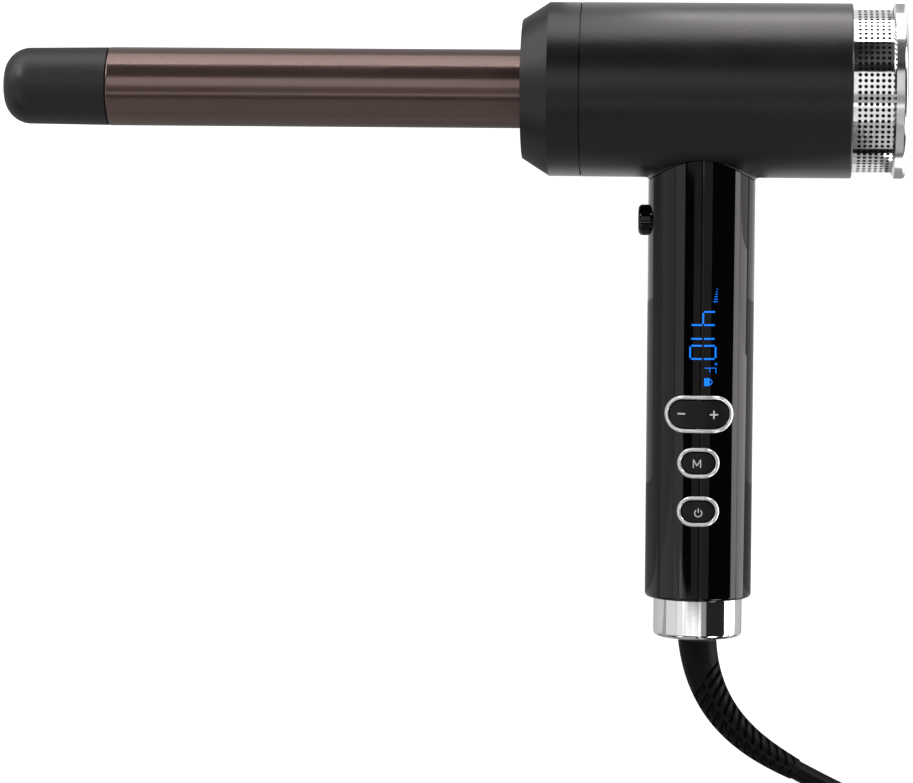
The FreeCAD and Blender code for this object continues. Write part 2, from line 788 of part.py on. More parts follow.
def tact_switches():
    switches = []
    for index, (x, alias) in enumerate(SWITCH_PLACES):
        z = DIMENSIONS[alias]
        case = block("switch_case_%d" % index, (x - 2.4, -11.4, z - 2.4),
                     (x + 2.4, dim.board_front, z + 2.4))
        button = rod("switch_dot_%d" % index, "Y", -12.0, -11.0, 1.0, centre=(x, 0, z))
        switches.append(fuse("switch_%d" % index, [case, button]))
    return group("tact_switches", switches)


BOARD_SCREW_PLACES = [(-8.0, -56.0), (8.0, -56.0), (-8.0, -150.0), (8.0, -150.0)]


def board_screws():
    return group("board_screws", [
        screw("board_screw_%d" % index, "Y", -9.4, 1.2, 1.6, -6.2, 0.9, (x, 0, z))
        for index, (x, z) in enumerate(BOARD_SCREW_PLACES)])


def control_board():
    """Circuit board with a hole for each of its screws."""
    holes = [rod("board_hole_%d" % index, "Y", -10, -7, 0.95, centre=(x, 0, z))
             for index, (x, z) in enumerate(BOARD_SCREW_PLACES)]
    blank = block("board_blank", (-10.5, dim.board_front, -155), (10.5, dim.board_back, -52))
    return cut("control_board", blank, holes)


# ---- cool-air trigger ----

def cool_shot_button():
    """Round side button; a flange keeps it in the handle and a stem works the switch."""
    body = new_body("cool_shot_button")
    face = -dim.trigger_reach
    disc = sketch_on(body, "YZ_Plane", "disc", lift=-14.2)
    draw_circle(disc, (0, dim.trigger_place), dim.trigger_rad)
    pad(body, disc, dim.trigger_reach - 14.2, backwards=True)
    flange = sketch_on(body, "YZ_Plane", "flange", lift=-13.0)
    draw_circle(flange, (0, dim.trigger_place), 6.0)
    pad(body, flange, 1.25, backwards=True)
    stem = sketch_on(body, "YZ_Plane", "stem", lift=-13.2)
    draw_circle(stem, (0, dim.trigger_place), 1.5)
    last = pad(body, stem, 3.0)
    names = circle_edges(last.Shape, "X", face, dim.trigger_rad)
    rounding = body.newObject("PartDesign::Fillet", "trigger_round")
    rounding.Base = (last, names)
    rounding.Radius = 1.3
    document.recompute()
    return body


def trigger_spring():
    """Coil spring between the trigger's flange and its switch, drawn half a turn at a time."""
    length, coil_rad, wire_rad = 4.4, 2.5, 0.22
    climb = length / (SPRING_HALF_TURNS * math.pi)
    halves = []
    for half in range(SPRING_HALF_TURNS):
        angles = [math.pi * (half + step / 6) for step in range(7)]
        points = [Vector(coil_rad * math.cos(angle), coil_rad * math.sin(angle), climb * angle)
                  for angle in angles]
        slopes = [Vector(-coil_rad * math.sin(angle), coil_rad * math.cos(angle), climb)
                  for angle in (angles[0], angles[-1])]
        curve = Part.BSplineCurve()
        curve.interpolate(Points=points, InitialTangent=slopes[0], FinalTangent=slopes[1])
        halves.append(curve.toShape())
    section = round_section(Vector(coil_rad, 0, 0), Vector(0, coil_rad, climb), wire_rad)
    spine = Part.Wire(halves)
    coil = spine.makePipeShell([section], True, True)
    expected = math.pi * wire_rad ** 2 * spine.Length
    if abs(coil.Volume - expected) > 0.02 * expected:
        raise RuntimeError("the spring's volume is off: %.3f, not %.3f" % (coil.Volume, expected))
    coil.Placement = Placement(Vector(-12.75, 0, DIMENSIONS["trigger_place"]), AXIS_TURN["X"])
    return shaped("trigger_spring", coil)


def trigger_switch():
    place = dim.trigger_place
    case = block("switch_case", (-8.05, -3.2, place - 4.5), (-1.5, 3.2, place + 4.5))
    plunger = rod("switch_plunger", "X", -8.55, -7.5, 1.0, centre=(0, 0, place.value))
    return fuse("trigger_switch", [case, plunger])


# ---- end ring and swivel ----

def end_ring():
    body = new_body("end_ring")
    bore = dim.neck_rad + dim.neck_play
    turned = revolve(body, [
        (bore, dim.ring_end), (dim.ring_rad, dim.ring_end), (dim.ring_rad, dim.sleeve_end + 1.7),
        (15.5, dim.sleeve_end + 1.7), (15.5, dim.sleeve_end + 6.3), (10.6, dim.sleeve_end + 6.3),
        (10.6, dim.ring_end + 2.0), (bore, dim.ring_end + 2.0),
    ], "Z")
    round_edge(body, turned, "Z", dim.ring_end, dim.ring_rad, 1.4)
    return body


def swivel_hub():
    body = new_body("swivel_hub")
    shelf = dim.ring_end + 2.2
    revolve(body, [(2.6, dim.hub_end), (dim.neck_rad, dim.hub_end), (dim.neck_rad, shelf), (9.6, shelf),
                   (9.6, shelf + 3.0), (2.6, shelf + 3.0)], "Z")
    return body


def slip_rings():
    top = dim.ring_end + 5.2
    return group("slip_rings", [tube("slip_ring_outer", "Z", top, top + 0.6, 9.0, 8.0),
                                tube("slip_ring_inner", "Z", top, top + 0.6, 6.2, 5.2)])


def brush_holder():
    low = dim.ring_end + 8.6
    return tube("brush_holder", "Z", low, low + 5.0, 10.4, 2.2)


def contact_brushes():
    low = dim.ring_end + 5.9
    return group("contact_brushes", [block("brush_outer", (8.1, -1, low), (8.9, 1, low + 2.7)),
                                     block("brush_inner", (-6.1, -1, low), (-5.3, 1, low + 2.7))])


# ---- wires inside ----

def wires(name, routes, radius):
    return shaped(name, Part.makeCompound([swept_tube(route, radius) for route in routes]))


def heater_leads():
    return wires("heater_leads", [
        [(-71, y, 0), (-30, y, 0), (-8, y, -17), (5, y, -31), (6.5, y - 1, -45), (6.5, y - 6.5, -58)]
        for y in (2.5, 5.5)], 0.9)


def motor_leads():
    return wires("motor_leads", [
        [(-7.8, -4, -5), (-10, -3, -8), (-10, -3, -19), (-1, -3, -31), (2, -3, -45), (2.5, -4, -58)],
        [(-7.8, 4, -5), (-9, 1, -9), (-9, 0, -20), (-0.5, 0, -32), (2, -0.5, -45), (2.5, -1.5, -58)],
    ], 0.7)


def supply_leads():
    return wires("supply_leads", [
        [(x, 0, -162.8), (x, -0.5, -157), (x, -5.5, -151), (x, -6.0, -141)] for x in (-4.0, 4.0)], 0.9)


# ---- strain relief, cord and plug, in the table's frame ----

def laid_on_table():
    """Placement that lays the wand down until the head and the handle's end both touch z = 0."""
    rounding = DIMENSIONS["end_round"]
    reach = -DIMENSIONS["sleeve_end"] - rounding
    edge = DIMENSIONS["sleeve_rad"] - rounding
    height = DIMENSIONS["head_rad"]
    tilt = math.asin((height - rounding) / math.hypot(reach, edge)) - math.atan2(edge, reach)
    print("handle tilt in degrees: %.4f" % math.degrees(tilt))
    turn = Rotation(Vector(1, 0, 0), -90 + math.degrees(tilt))
    return Placement(Vector(DIMENSIONS["origin_x"], DIMENSIONS["origin_y"], height), turn)


RELIEF_HANDLES = [(0, 0, -178.0), (2.2, 0, -204.0), (19.3, 3.5, -214.3), (32.4, 6.5, -221.6)]
RELIEF_SECTIONS = 9


def relief_point(share):
    """Point and direction on the strain relief's curved centre line, in the design frame."""
    p0, p1, p2, p3 = [Vector(*handle) for handle in RELIEF_HANDLES]
    rest = 1 - share
    point = p0 * rest ** 3 + p1 * (3 * rest ** 2 * share) + p2 * (3 * rest * share ** 2) + p3 * share ** 3
    slope = (p1 - p0) * rest ** 2 + (p2 - p1) * (2 * rest * share) + (p3 - p2) * share ** 2
    return point, slope


def strain_relief():
    """Tapered rubber sleeve that bends from the swivel down to the table."""
    start = DIMENSIONS["relief_start_rad"]
    shrink = start - DIMENSIONS["relief_end_rad"]
    sections = []
    for index in range(RELIEF_SECTIONS):
        share = index / (RELIEF_SECTIONS - 1)
        point, slope = relief_point(share)
        sections.append(round_section(point, slope, start - shrink * share))
    return shaped("strain_relief", Part.makeLoft(sections, True, False))


def cord_run():
    return shaped("cord_run", swept_tube(CORD_ROUTE, DIMENSIONS["cord_rad"], report="cord"))


def cord_coil():
    """Outer shape of the wound-up cord: a flat ring of round-edged section."""
    thick = dim.cord_rad * 2
    half_width = thick * (COIL_TURNS_ACROSS / 2)
    body = new_body("cord_coil")
    inner = dim.coil_mid_rad - half_width
    outer = dim.coil_mid_rad + half_width
    tall = thick * COIL_LAYERS
    turned = revolve(body, [(inner, 0), (outer, 0), (outer, tall), (inner, tall)], "Z")
    fillet = body.newObject("PartDesign::Fillet", "coil_round")
    fillet.Base = (turned, ["Edge%d" % (index + 1) for index, edge in enumerate(turned.Shape.Edges)
                            if isinstance(edge.Curve, Part.Circle)])
    bind(fillet, "Radius", dim.cord_rad)
    document.recompute()
    return body


def cord_tie():
    """Hook-and-loop strap round one side of the coil."""
    middle = -dim.coil_mid_rad
    half = DIMENSIONS["cord_rad"] * COIL_TURNS_ACROSS + 0.8
    tall = DIMENSIONS["cord_rad"] * 2 * COIL_LAYERS
    outside = block("tie_outside", (middle - half, -6, 0.0), (middle + half, 6, tall + 1.0))
    inside = block("tie_inside", (middle - half + 1.0, -7, 1.0), (middle + half - 1.0, 7, tall))
    return cut("cord_tie", outside, [inside])


PLUG_LIFT = 7.4
# of the moulded plug: place along the table's X from the coil's centre, half width and half height
PLUG_SECTIONS = [
    (-29.0, 11.0, 6.9), (-27.0, 11.6, 7.0), (-8.0, 10.0, 7.0), (0.0, 6.5, 5.8), (5.0, 4.9, 4.7),
    (26.0, 3.8, 3.8),
]
BLADE_TIP = -46.0
BLADE_HALF_GAP = 6.35


def plug_height():
    return DIMENSIONS["cord_rad"] * 2 * COIL_LAYERS + PLUG_LIFT


def plug_section(centre, half_wide, half_tall):
    """Oval outline across X."""
    if half_wide > half_tall:
        outline = Part.Ellipse(centre, half_wide, half_tall)
    else:
        outline = Part.Circle(centre, Vector(0, 0, 1), half_wide)
    edge = outline.toShape()
    edge.rotate(centre, Vector(0, 1, 0), 90)
    edge.rotate(centre, Vector(1, 0, 0), 90)
    return Part.Wire([edge])


def plug_body():
    """Moulded two-blade plug that lies on the coil, its blades pointing to -X."""
    height = plug_height()
    across = -DIMENSIONS["coil_mid_rad"]
    sections = [plug_section(Vector(x, across, height), half_wide, half_tall)
                for x, half_wide, half_tall in PLUG_SECTIONS]
    return shaped("plug_body", Part.makeLoft(sections, True, False))


def plug_pins():
    height = plug_height()
    across = -DIMENSIONS["coil_mid_rad"]
    return group("plug_pins", [
        block("plug_blade_%d" % index, (BLADE_TIP, across + offset - 0.75, height - 3.2),
              (PLUG_SECTIONS[0][0] + 0.1, across + offset + 0.75, height + 3.2))
        for index, offset in enumerate((-BLADE_HALF_GAP, BLADE_HALF_GAP))])


WAND_PARTS = [
    cool_tip, tip_insulator, barrel_tube, heater_core_upper, heater_core_lower, ptc_heater, heater_spring,
    thermal_sensor, thermal_fuse, barrel_bracket, nose_collar, air_outlet_ring, head_housing, motor_mount,
    fan_motor, motor_screws, fan_shaft, impeller, intake_grille, dust_filter, rear_rim, rear_cap,
    handle_sleeve, handle_chassis, control_board, board_screws, display_module, tact_switches,
    bezel_rocker, bezel_mode, bezel_power, rocker_key, mode_key, power_key, rocker_pin, rocker_frame,
    cool_shot_button, trigger_spring, trigger_switch, end_ring, brush_holder, contact_brushes,
    swivel_hub, slip_rings, heater_leads, motor_leads, supply_leads, strain_relief,
]
COIL_PARTS = [cord_coil, cord_tie, plug_body, plug_pins]
TABLE_PARTS = [cord_run]


def check_document():
    for thing in document.Objects:
        if "Invalid" in thing.State or "Error" in thing.State:
            raise RuntimeError("%s failed: %s" % (thing.Name, thing.State))


def build(makers, placement):
    """Makes each sub-part in its own frame and lays it down with one placement."""
    parts = []
    for maker in makers:
        part = maker()
        if part.TypeId in ("Part::Cylinder", "Part::Box"):
            # a lone primitive keeps its bound place inside a compound, which is laid down instead
            part.Label = maker.__name__ + "_blank"
            part = group(maker.__name__, [part])
        part.Label = maker.__name__
        document.recompute()
        part.Placement = placement.multiply(part.Placement)
        parts.append(part)
    return parts


def main():
    fill_sheet()
    coil_place = Placement(Vector(DIMENSIONS["coil_x"], DIMENSIONS["coil_y"], 0), Rotation())
    parts = build(WAND_PARTS, laid_on_table())
    parts += build(COIL_PARTS, coil_place)
    parts += build(TABLE_PARTS, Placement())
    document.recompute()
    check_document()
    os.makedirs("parts", exist_ok=True)
    for part in parts:
        if part.Shape.isNull() or not part.Shape.isValid():
            raise RuntimeError("%s has no valid shape" % part.Label)
        part.Shape.exportStep("parts/%s.step" % part.Label)
        box = part.Shape.optimalBoundingBox(False, False)
        print("%-20s solids %d volume %10.1f  x %.1f %.1f  y %.1f %.1f  z %.1f %.1f" % (
            part.Label, len(part.Shape.Solids), part.Shape.Volume, box.XMin, box.XMax, box.YMin, box.YMax,
            box.ZMin, box.ZMax))


main()
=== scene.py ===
import json
import math

import bpy
from mathutils import Matrix, Vector


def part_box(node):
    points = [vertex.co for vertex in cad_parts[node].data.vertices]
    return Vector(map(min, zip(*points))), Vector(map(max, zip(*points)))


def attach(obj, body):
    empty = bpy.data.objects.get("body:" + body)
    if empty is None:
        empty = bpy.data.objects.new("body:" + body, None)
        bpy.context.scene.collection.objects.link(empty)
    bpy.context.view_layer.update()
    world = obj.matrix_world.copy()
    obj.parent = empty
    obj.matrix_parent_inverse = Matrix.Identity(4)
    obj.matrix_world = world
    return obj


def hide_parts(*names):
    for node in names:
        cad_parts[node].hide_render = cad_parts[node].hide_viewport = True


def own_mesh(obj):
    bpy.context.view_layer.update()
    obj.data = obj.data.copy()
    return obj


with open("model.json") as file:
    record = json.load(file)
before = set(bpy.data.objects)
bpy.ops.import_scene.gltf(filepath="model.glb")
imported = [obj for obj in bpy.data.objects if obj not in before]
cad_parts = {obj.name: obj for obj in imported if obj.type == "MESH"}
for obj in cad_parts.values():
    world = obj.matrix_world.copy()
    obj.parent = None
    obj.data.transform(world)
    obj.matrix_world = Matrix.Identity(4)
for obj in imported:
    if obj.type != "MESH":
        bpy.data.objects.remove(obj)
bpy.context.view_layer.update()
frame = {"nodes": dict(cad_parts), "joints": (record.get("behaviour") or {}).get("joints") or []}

# Looks of the curling wand. Lengths named *_MM are millimetres in the wand's design frame: its origin is
# where the head's axis meets the handle's axis, X runs along the barrel (tip to -X), the handle points to
# -Z and the keys face -Y. place() turns them into the row's metres. Every other length is in metres.

MM = 0.001
JOINTS = {joint["name"]: joint for joint in frame["joints"]}

barrel_low, barrel_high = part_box("barrel_tube")
HANDLE_UP = Vector(JOINTS["cord_swivel"]["axis"])
INWARD = Vector(JOINTS["mode_key_press"]["axis"])
ORIGIN = (barrel_low + barrel_high) / 2
ORIGIN.x = JOINTS["cord_swivel"]["pos_m"][0]


def place(x, y, z):
    """A point of the design frame, in millimetres, as a point of the row, in metres."""
    return ORIGIN + (Vector((x, 0, 0)) + INWARD * y + HANDLE_UP * z) * MM


# ---- sizes in the design frame ----

SLEEVE_RAD_MM = 17.2
HEAD_RAD_MM = 28.05
ROCKER = {"height": -103.25, "half_long": 11.1, "half_wide": 6.0}
MODE = {"height": -118.9, "half_long": 6.8, "half_wide": 4.9}
POWER = {"height": -134.5, "half_long": 6.8, "half_wide": 4.9}


# ---- cord sizes ----

CORD_DIAMETER = 0.0064
COIL_CENTRE = Vector((0.159, -0.1853, 0.0))
COIL_MID_RAD = 0.0352
COIL_TURNS_ACROSS = 4
COIL_LAYERS = 3
COIL_POINTS_PER_TURN = 16
COIL_STEP_POINTS = 4

# the same points as the cord's tube in the CAD model, in metres
CORD_ROUTE = [
    (0.11315, -0.1228, 0.0067),
    (0.1258, -0.1296, 0.0040),
    (0.1412, -0.1363, 0.0032),
    (0.1590, -0.1405, 0.0032),
]


# ---- camera ----

CAMERA_TARGET = ORIGIN + Vector((-78.45, -97.88, 0)) * MM
CAMERA_DISTANCE = 1.4
CAMERA_YAW = math.radians(3.928)
CAMERA_PITCH = math.radians(1.063)
CAMERA_ROLL = math.radians(0.582)
CAMERA_FOCAL_WIDTHS = 4.7418
SENSOR_WIDTH = 36.0


def make_camera():
    """A long lens straight above the wand, a little to its right."""
    back = Vector((math.sin(CAMERA_YAW) * math.cos(CAMERA_PITCH), math.sin(CAMERA_PITCH),
                   math.cos(CAMERA_YAW) * math.cos(CAMERA_PITCH)))
    right = Vector((0, 1, 0)).cross(back).normalized()
    up = back.cross(right)
    turn = Matrix.Rotation(CAMERA_ROLL, 3, back)
    right, up = turn @ right, turn @ up
    data = bpy.data.cameras.new("camera")
    data.sensor_fit = "HORIZONTAL"
    data.sensor_width = SENSOR_WIDTH
    data.lens = SENSOR_WIDTH * CAMERA_FOCAL_WIDTHS
    data.clip_start = 0.05
    data.clip_end = 50.0
    camera = bpy.data.objects.new("camera", data)
    bpy.context.scene.collection.objects.link(camera)
    turned = Matrix((right, up, back)).transposed()
    camera.matrix_world = Matrix.Translation(CAMERA_TARGET + back * CAMERA_DISTANCE) @ turned.to_4x4()
    bpy.context.scene.camera = camera


make_camera()


# ---- node materials ----

class Shader:
    """A node material with one Principled shader and object-space texture coordinates."""

    def __init__(self, name):
        self.material = bpy.data.materials.new(name)
        self.material.use_nodes = True
        self.tree = self.material.node_tree
        self.surface = self.tree.nodes["Principled BSDF"]
        self.coordinates = self.add("ShaderNodeTexCoord").outputs["Object"]

    def add(self, kind, **settings):
        node = self.tree.nodes.new(kind)
        for name, value in settings.items():
            setattr(node, name, value)
        return node

    def set(self, **values):
        """Sets the shader's own sockets, named with underscores for spaces."""
        for name, value in values.items():
            self.surface.inputs[name.replace("_", " ")].default_value = value

    def feed(self, socket, value):
        """Links an output to a socket, or gives the socket a constant value."""
        if hasattr(value, "is_output"):
            self.tree.links.new(value, socket)
        else:
            socket.default_value = value

    def noise(self, scale, detail=3.0, roughness=0.5, stretch=(1, 1, 1)):
        """Noise over the piece, centred on a half; stretch below 1 draws it out along that axis."""
        mapping = self.add("ShaderNodeMapping")
        mapping.inputs["Scale"].default_value = stretch
        self.tree.links.new(self.coordinates, mapping.inputs["Vector"])
        node = self.add("ShaderNodeTexNoise")
        node.inputs["Scale"].default_value = scale
        node.inputs["Detail"].default_value = detail
        node.inputs["Roughness"].default_value = roughness
        self.tree.links.new(mapping.outputs["Vector"], node.inputs["Vector"])
        return node.outputs["Fac"]

    def ramp(self, factor, low, high, start=0.3, end=0.7):
        """Maps a factor between start and end onto low to high."""
        node = self.add("ShaderNodeMapRange")
        node.inputs["From Min"].default_value = start
        node.inputs["From Max"].default_value = end
        node.inputs["To Min"].default_value = low
        node.inputs["To Max"].default_value = high
        self.tree.links.new(factor, node.inputs["Value"])
        return node.outputs["Result"]

    def blend_colours(self, factor, low, high):
        node = self.add("ShaderNodeMix", data_type="RGBA")
        self.feed(node.inputs[0], factor)
        self.feed(node.inputs[6], low)
        self.feed(node.inputs[7], high)
        return node.outputs[2]

    def bump(self, height, distance, strength=1.0, under=None):
        node = self.add("ShaderNodeBump")
        node.inputs["Strength"].default_value = strength
        node.inputs["Distance"].default_value = distance
        self.tree.links.new(height, node.inputs["Height"])
        if under is not None:
            self.tree.links.new(under, node.inputs["Normal"])
        return node.outputs["Normal"]

    def wear(self, colour_low, colour_high, rough_low, rough_high, scale=40.0, grain=None):
        """Colour and roughness drift over the surface, and an optional fine grain bump."""
        drift = self.ramp(self.noise(scale, 4.0), 0.0, 1.0)
        self.feed(self.surface.inputs["Base Color"], self.blend_colours(drift, colour_low, colour_high))
        smudge = self.ramp(self.noise(scale * 2.7, 5.0, 0.6), rough_low, rough_high)
        self.feed(self.surface.inputs["Roughness"], smudge)
        if grain:
            size, height = grain
            self.feed(self.surface.inputs["Normal"], self.bump(self.noise(size, 2.0), height))


BLUISH = (1, 1, 1.03)
COOL = (1, 1, 1.01)
WARM_TINT = (1.0, 0.945, 0.925, 1.0)


def grey(value, tint=(1, 1, 1)):
    return (value * tint[0], value * tint[1], value * tint[2], 1.0)


def shaded(colour, share):
    """The same colour, darker."""
    return tuple(share * part for part in colour[:3]) + (1.0,)


def matte_black():
    """Soft-touch paint with a very fine grain."""
    shader = Shader("matte_black")
    shader.wear(grey(0.0025), grey(0.0038, BLUISH), 0.27, 0.32, 30.0, (5200.0, 0.00002))
    shader.set(Specular_IOR_Level=0.55, Specular_Tint=WARM_TINT)
    return shader.material


def tip_black():
    """Duller, slightly greyer plastic of the cool tip."""
    shader = Shader("tip_black")
    shader.wear(grey(0.005), grey(0.0075), 0.36, 0.44, 60.0, (4200.0, 0.00003))
    shader.set(Specular_IOR_Level=0.5)
    return shader.material


def gloss_black():
    """Piano-gloss plastic: a clear skin over black, with faint moulding waviness."""
    shader = Shader("gloss_black")
    shader.wear(grey(0.0004), grey(0.0008), 0.03, 0.05, 25.0)
    shader.set(IOR=1.5, Specular_Tint=WARM_TINT)
    wave = shader.noise(55.0, 1.0)
    shader.feed(shader.surface.inputs["Normal"], shader.bump(wave, 0.00002, 0.35))
    return shader.material


def chrome(name="chrome", rough=(0.035, 0.09), uneven=0.0):
    """Chrome plate; uneven is the height of fine dents in it."""
    shader = Shader(name)
    shader.wear(grey(0.74, COOL), grey(0.82, COOL), rough[0], rough[1], 60.0)
    shader.set(Metallic=1.0)
    if uneven:
        shader.feed(shader.surface.inputs["Normal"], shader.bump(shader.noise(900.0, 2.0), uneven))
    return shader.material


def bezel_chrome():
    """Bright plated plastic, a little milky."""
    shader = Shader("bezel_chrome")
    shader.wear(grey(0.86), grey(0.92), 0.14, 0.2, 200.0)
    shader.set(Metallic=0.6)
    return shader.material


def barrel_coating():
    """Rose-brown ceramic coating: a metallic base under a clear skin, with streaks along the barrel."""
    shader = Shader("barrel_coating")
    fleck = shader.ramp(shader.noise(2600.0, 2.0, 0.6), 0.25, 0.75, 0.35, 0.65)
    base = shader.blend_colours(fleck, (0.118, 0.070, 0.062, 1), (0.164, 0.106, 0.093, 1))
    long_streak = shader.ramp(shader.noise(60.0, 3.0, 0.5, (0.06, 1, 1)), 0.0, 1.0)
    worn = shader.blend_colours(long_streak, base, (0.176, 0.115, 0.101, 1))
    shader.feed(shader.surface.inputs["Base Color"], worn)
    smudge = shader.ramp(shader.noise(90.0, 4.0, 0.5, (0.3, 1, 1)), 0.2, 0.27)
    shader.feed(shader.surface.inputs["Roughness"], smudge)
    brushing = shader.bump(shader.noise(1400.0, 2.0, 0.5, (0.03, 1, 1)), 0.000004)
    shader.feed(shader.surface.inputs["Normal"], brushing)
    shader.set(Metallic=0.85, Coat_Weight=0.5, Coat_Roughness=0.05)
    return shader.material


def rubber(name="rubber", rough=(0.38, 0.5)):
    """Soft black rubber or cord jacket."""
    shader = Shader(name)
    shader.wear(grey(0.002), grey(0.0035), rough[0], rough[1], 90.0, (3800.0, 0.00004))
    shader.set(Specular_IOR_Level=0.13)
    return shader.material


def key_black():
    """Satin plastic of the keys."""
    shader = Shader("key_black")
    shader.wear(grey(0.003), grey(0.0045), 0.3, 0.4, 120.0, (6500.0, 0.00002))
    shader.set(Specular_IOR_Level=0.35)
    return shader.material


def key_mark():
    """Light grey print on the keys."""
    shader = Shader("key_mark")
    shader.wear(grey(0.6), grey(0.7), 0.5, 0.6, 300.0, (9000.0, 0.00001))
    return shader.material


def display_blue():
    """Lit figures of the display."""
    shader = Shader("display_blue")
    shader.wear((0.0, 0.12, 0.5, 1), (0.0, 0.16, 0.6, 1), 0.2, 0.25, 400.0)
    shader.set(Emission_Color=(0.004, 0.17, 0.9, 1), Emission_Strength=0.95)
    return shader.material


def plain_metal(name, colour, rough=(0.25, 0.4)):
    """Bare metal of the inner pieces and the plug's pins."""
    shader = Shader(name)
    shader.wear(colour, shaded(colour, 0.85), rough[0], rough[1], 80.0, (2500.0, 0.00001))
    shader.set(Metallic=1.0)
    return shader.material


def moulded(name, colour, rough=(0.45, 0.6)):
    """Moulded plastic or insulation with a fine grain."""
    shader = Shader(name)
    shader.wear(colour, shaded(colour, 0.8), rough[0], rough[1], 70.0, (2600.0, 0.00003))
    return shader.material


def woven_strap():
    """Hook-and-loop strap: a coarse fuzzy weave."""
    shader = Shader("woven_strap")
    wave = shader.add("ShaderNodeTexWave", wave_type="BANDS", bands_direction="Y")
    wave.inputs["Scale"].default_value = 420.0
    wave.inputs["Distortion"].default_value = 2.0
    shader.tree.links.new(shader.coordinates, wave.inputs["Vector"])
    shader.wear(grey(0.012), grey(0.03), 0.75, 0.9, 500.0)
    fuzz = shader.bump(shader.noise(3000.0, 3.0), 0.0002)
    shader.feed(shader.surface.inputs["Normal"], shader.bump(wave.outputs["Fac"], 0.0003, 0.8, under=fuzz))
    shader.set(Sheen_Weight=0.3)
    return shader.material


# the floor glows for the camera alone: the background turns white, and no glow shows in reflections
FLOOR_GLOW = 0.95


def floor_white():
    shader = Shader("floor_white")
    shader.wear(grey(0.48), grey(0.5), 0.75, 0.85, 3.0)
    shader.set(Specular_IOR_Level=0.2, Emission_Color=(1, 1, 1, 1))
    path = shader.add("ShaderNodeLightPath").outputs["Is Camera Ray"]
    shader.feed(shader.surface.inputs["Emission Strength"], shader.ramp(path, 0.0, FLOOR_GLOW, 0.0, 1.0))
    return shader.material


MATERIALS = {
    "matte_black": matte_black(),
    "tip_black": tip_black(),
    "gloss_black": gloss_black(),
    "chrome": chrome(),
    "chrome_mesh": chrome("chrome_mesh", uneven=0.000004),
    "rim_chrome": chrome("rim_chrome", (0.13, 0.2)),
    "bezel_chrome": bezel_chrome(),
    "barrel": barrel_coating(),
    "rubber": rubber(),
    "cord_jacket": rubber("cord_jacket", (0.34, 0.44)),
    "key_black": key_black(),
    "key_mark": key_mark(),
    "display_blue": display_blue(),
    "steel": plain_metal("steel", (0.55, 0.55, 0.57, 1)),
    "aluminium": plain_metal("aluminium", (0.72, 0.72, 0.74, 1)),
    "brass": plain_metal("brass", (0.75, 0.55, 0.25, 1)),
    "nickel": plain_metal("nickel", (0.68, 0.66, 0.62, 1), (0.18, 0.28)),
    "ceramic": moulded("ceramic", (0.75, 0.72, 0.66, 1)),
    "inner_plastic": moulded("inner_plastic", (0.03, 0.03, 0.032, 1)),
    "filter_mesh": moulded("filter_mesh", (0.006, 0.006, 0.006, 1), (0.7, 0.85)),
    "board_green": moulded("board_green", (0.02, 0.12, 0.05, 1), (0.3, 0.4)),
    "wire_red": moulded("wire_red", (0.4, 0.03, 0.03, 1)),
    "strap": woven_strap(),
    "floor": floor_white(),
}

NODE_MATERIALS = {
    "matte_black": ["head_housing", "nose_collar"],
    "tip_black": ["cool_tip"],
    "gloss_black": ["handle_sleeve", "rear_cap", "cool_shot_button", "display_module"],
    "rim_chrome": ["rear_rim"],
    "chrome": ["end_ring", "intake_grille", "bezel_rocker", "bezel_mode", "bezel_power"],
    "barrel": ["barrel_tube"],
    "rubber": ["strain_relief", "plug_body"],
    "cord_jacket": ["cord_run", "cord_coil"],
    "key_black": ["rocker_key", "mode_key", "power_key", "tact_switches"],
    "steel": ["motor_screws", "fan_motor", "fan_shaft", "board_screws", "rocker_pin", "trigger_spring",
              "heater_spring"],
    "aluminium": ["heater_core_upper", "heater_core_lower"],
    "brass": ["contact_brushes", "slip_rings"],
    "nickel": ["plug_pins"],
    "ceramic": ["tip_insulator", "ptc_heater", "thermal_sensor", "thermal_fuse"],
    "inner_plastic": ["barrel_bracket", "air_outlet_ring", "motor_mount", "impeller", "handle_chassis",
                      "rocker_frame", "trigger_switch", "brush_holder", "swivel_hub"],
    "filter_mesh": ["dust_filter"],
    "board_green": ["control_board"],
    "wire_red": ["heater_leads", "motor_leads", "supply_leads"],
    "strap": ["cord_tie"],
}


def dress_nodes():
    """Gives every CAD node its material."""
    for name, nodes in NODE_MATERIALS.items():
        for node in nodes:
            slots = frame["nodes"][node].data.materials
            slots.clear()
            slots.append(MATERIALS[name])


dress_nodes()


def give_with_trigger():
    """Gives the trigger's return spring a mesh of its own. In the wand the spring shortens against its switch
    as the cool-shot button goes in, but nothing here shortens it.
    """
    spring = frame["nodes"]["trigger_spring"]
    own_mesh(spring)


give_with_trigger()


# ---- mesh helpers ----

SHARP_ANGLE = math.radians(40)


def mesh_object(name, points, faces, material, smooth=True):
    """A mesh from points and faces; edges sharper than SHARP_ANGLE stay crisp."""
    mesh = bpy.data.meshes.new(name)
    mesh.from_pydata([tuple(point) for point in points], [], faces)
    mesh.update()
    mesh.materials.append(MATERIALS[material])
    piece = bpy.data.objects.new(name, mesh)
    bpy.context.scene.collection.objects.link(piece)
    if smooth:
        mesh.shade_smooth()
        mesh.set_sharp_from_angle(angle=SHARP_ANGLE)
    return piece


def grid_faces(rows, columns, wrap_rows=False, wrap_columns=True):
    """Quads of a grid of points stored row after row."""
    faces = []
    for row in range(rows if wrap_rows else rows - 1):
        below = ((row + 1) % rows) * columns
        for column in range(columns if wrap_columns else columns - 1):
            following = (column + 1) % columns
            faces.append((row * columns + column, row * columns + following,
                          below + following, below + column))
    return faces


def capped(faces, rows, columns):
    """Adds the two end faces of a tube-like grid."""
    last = (rows - 1) * columns
    return faces + [tuple(reversed(range(columns))), tuple(range(last, last + columns))]


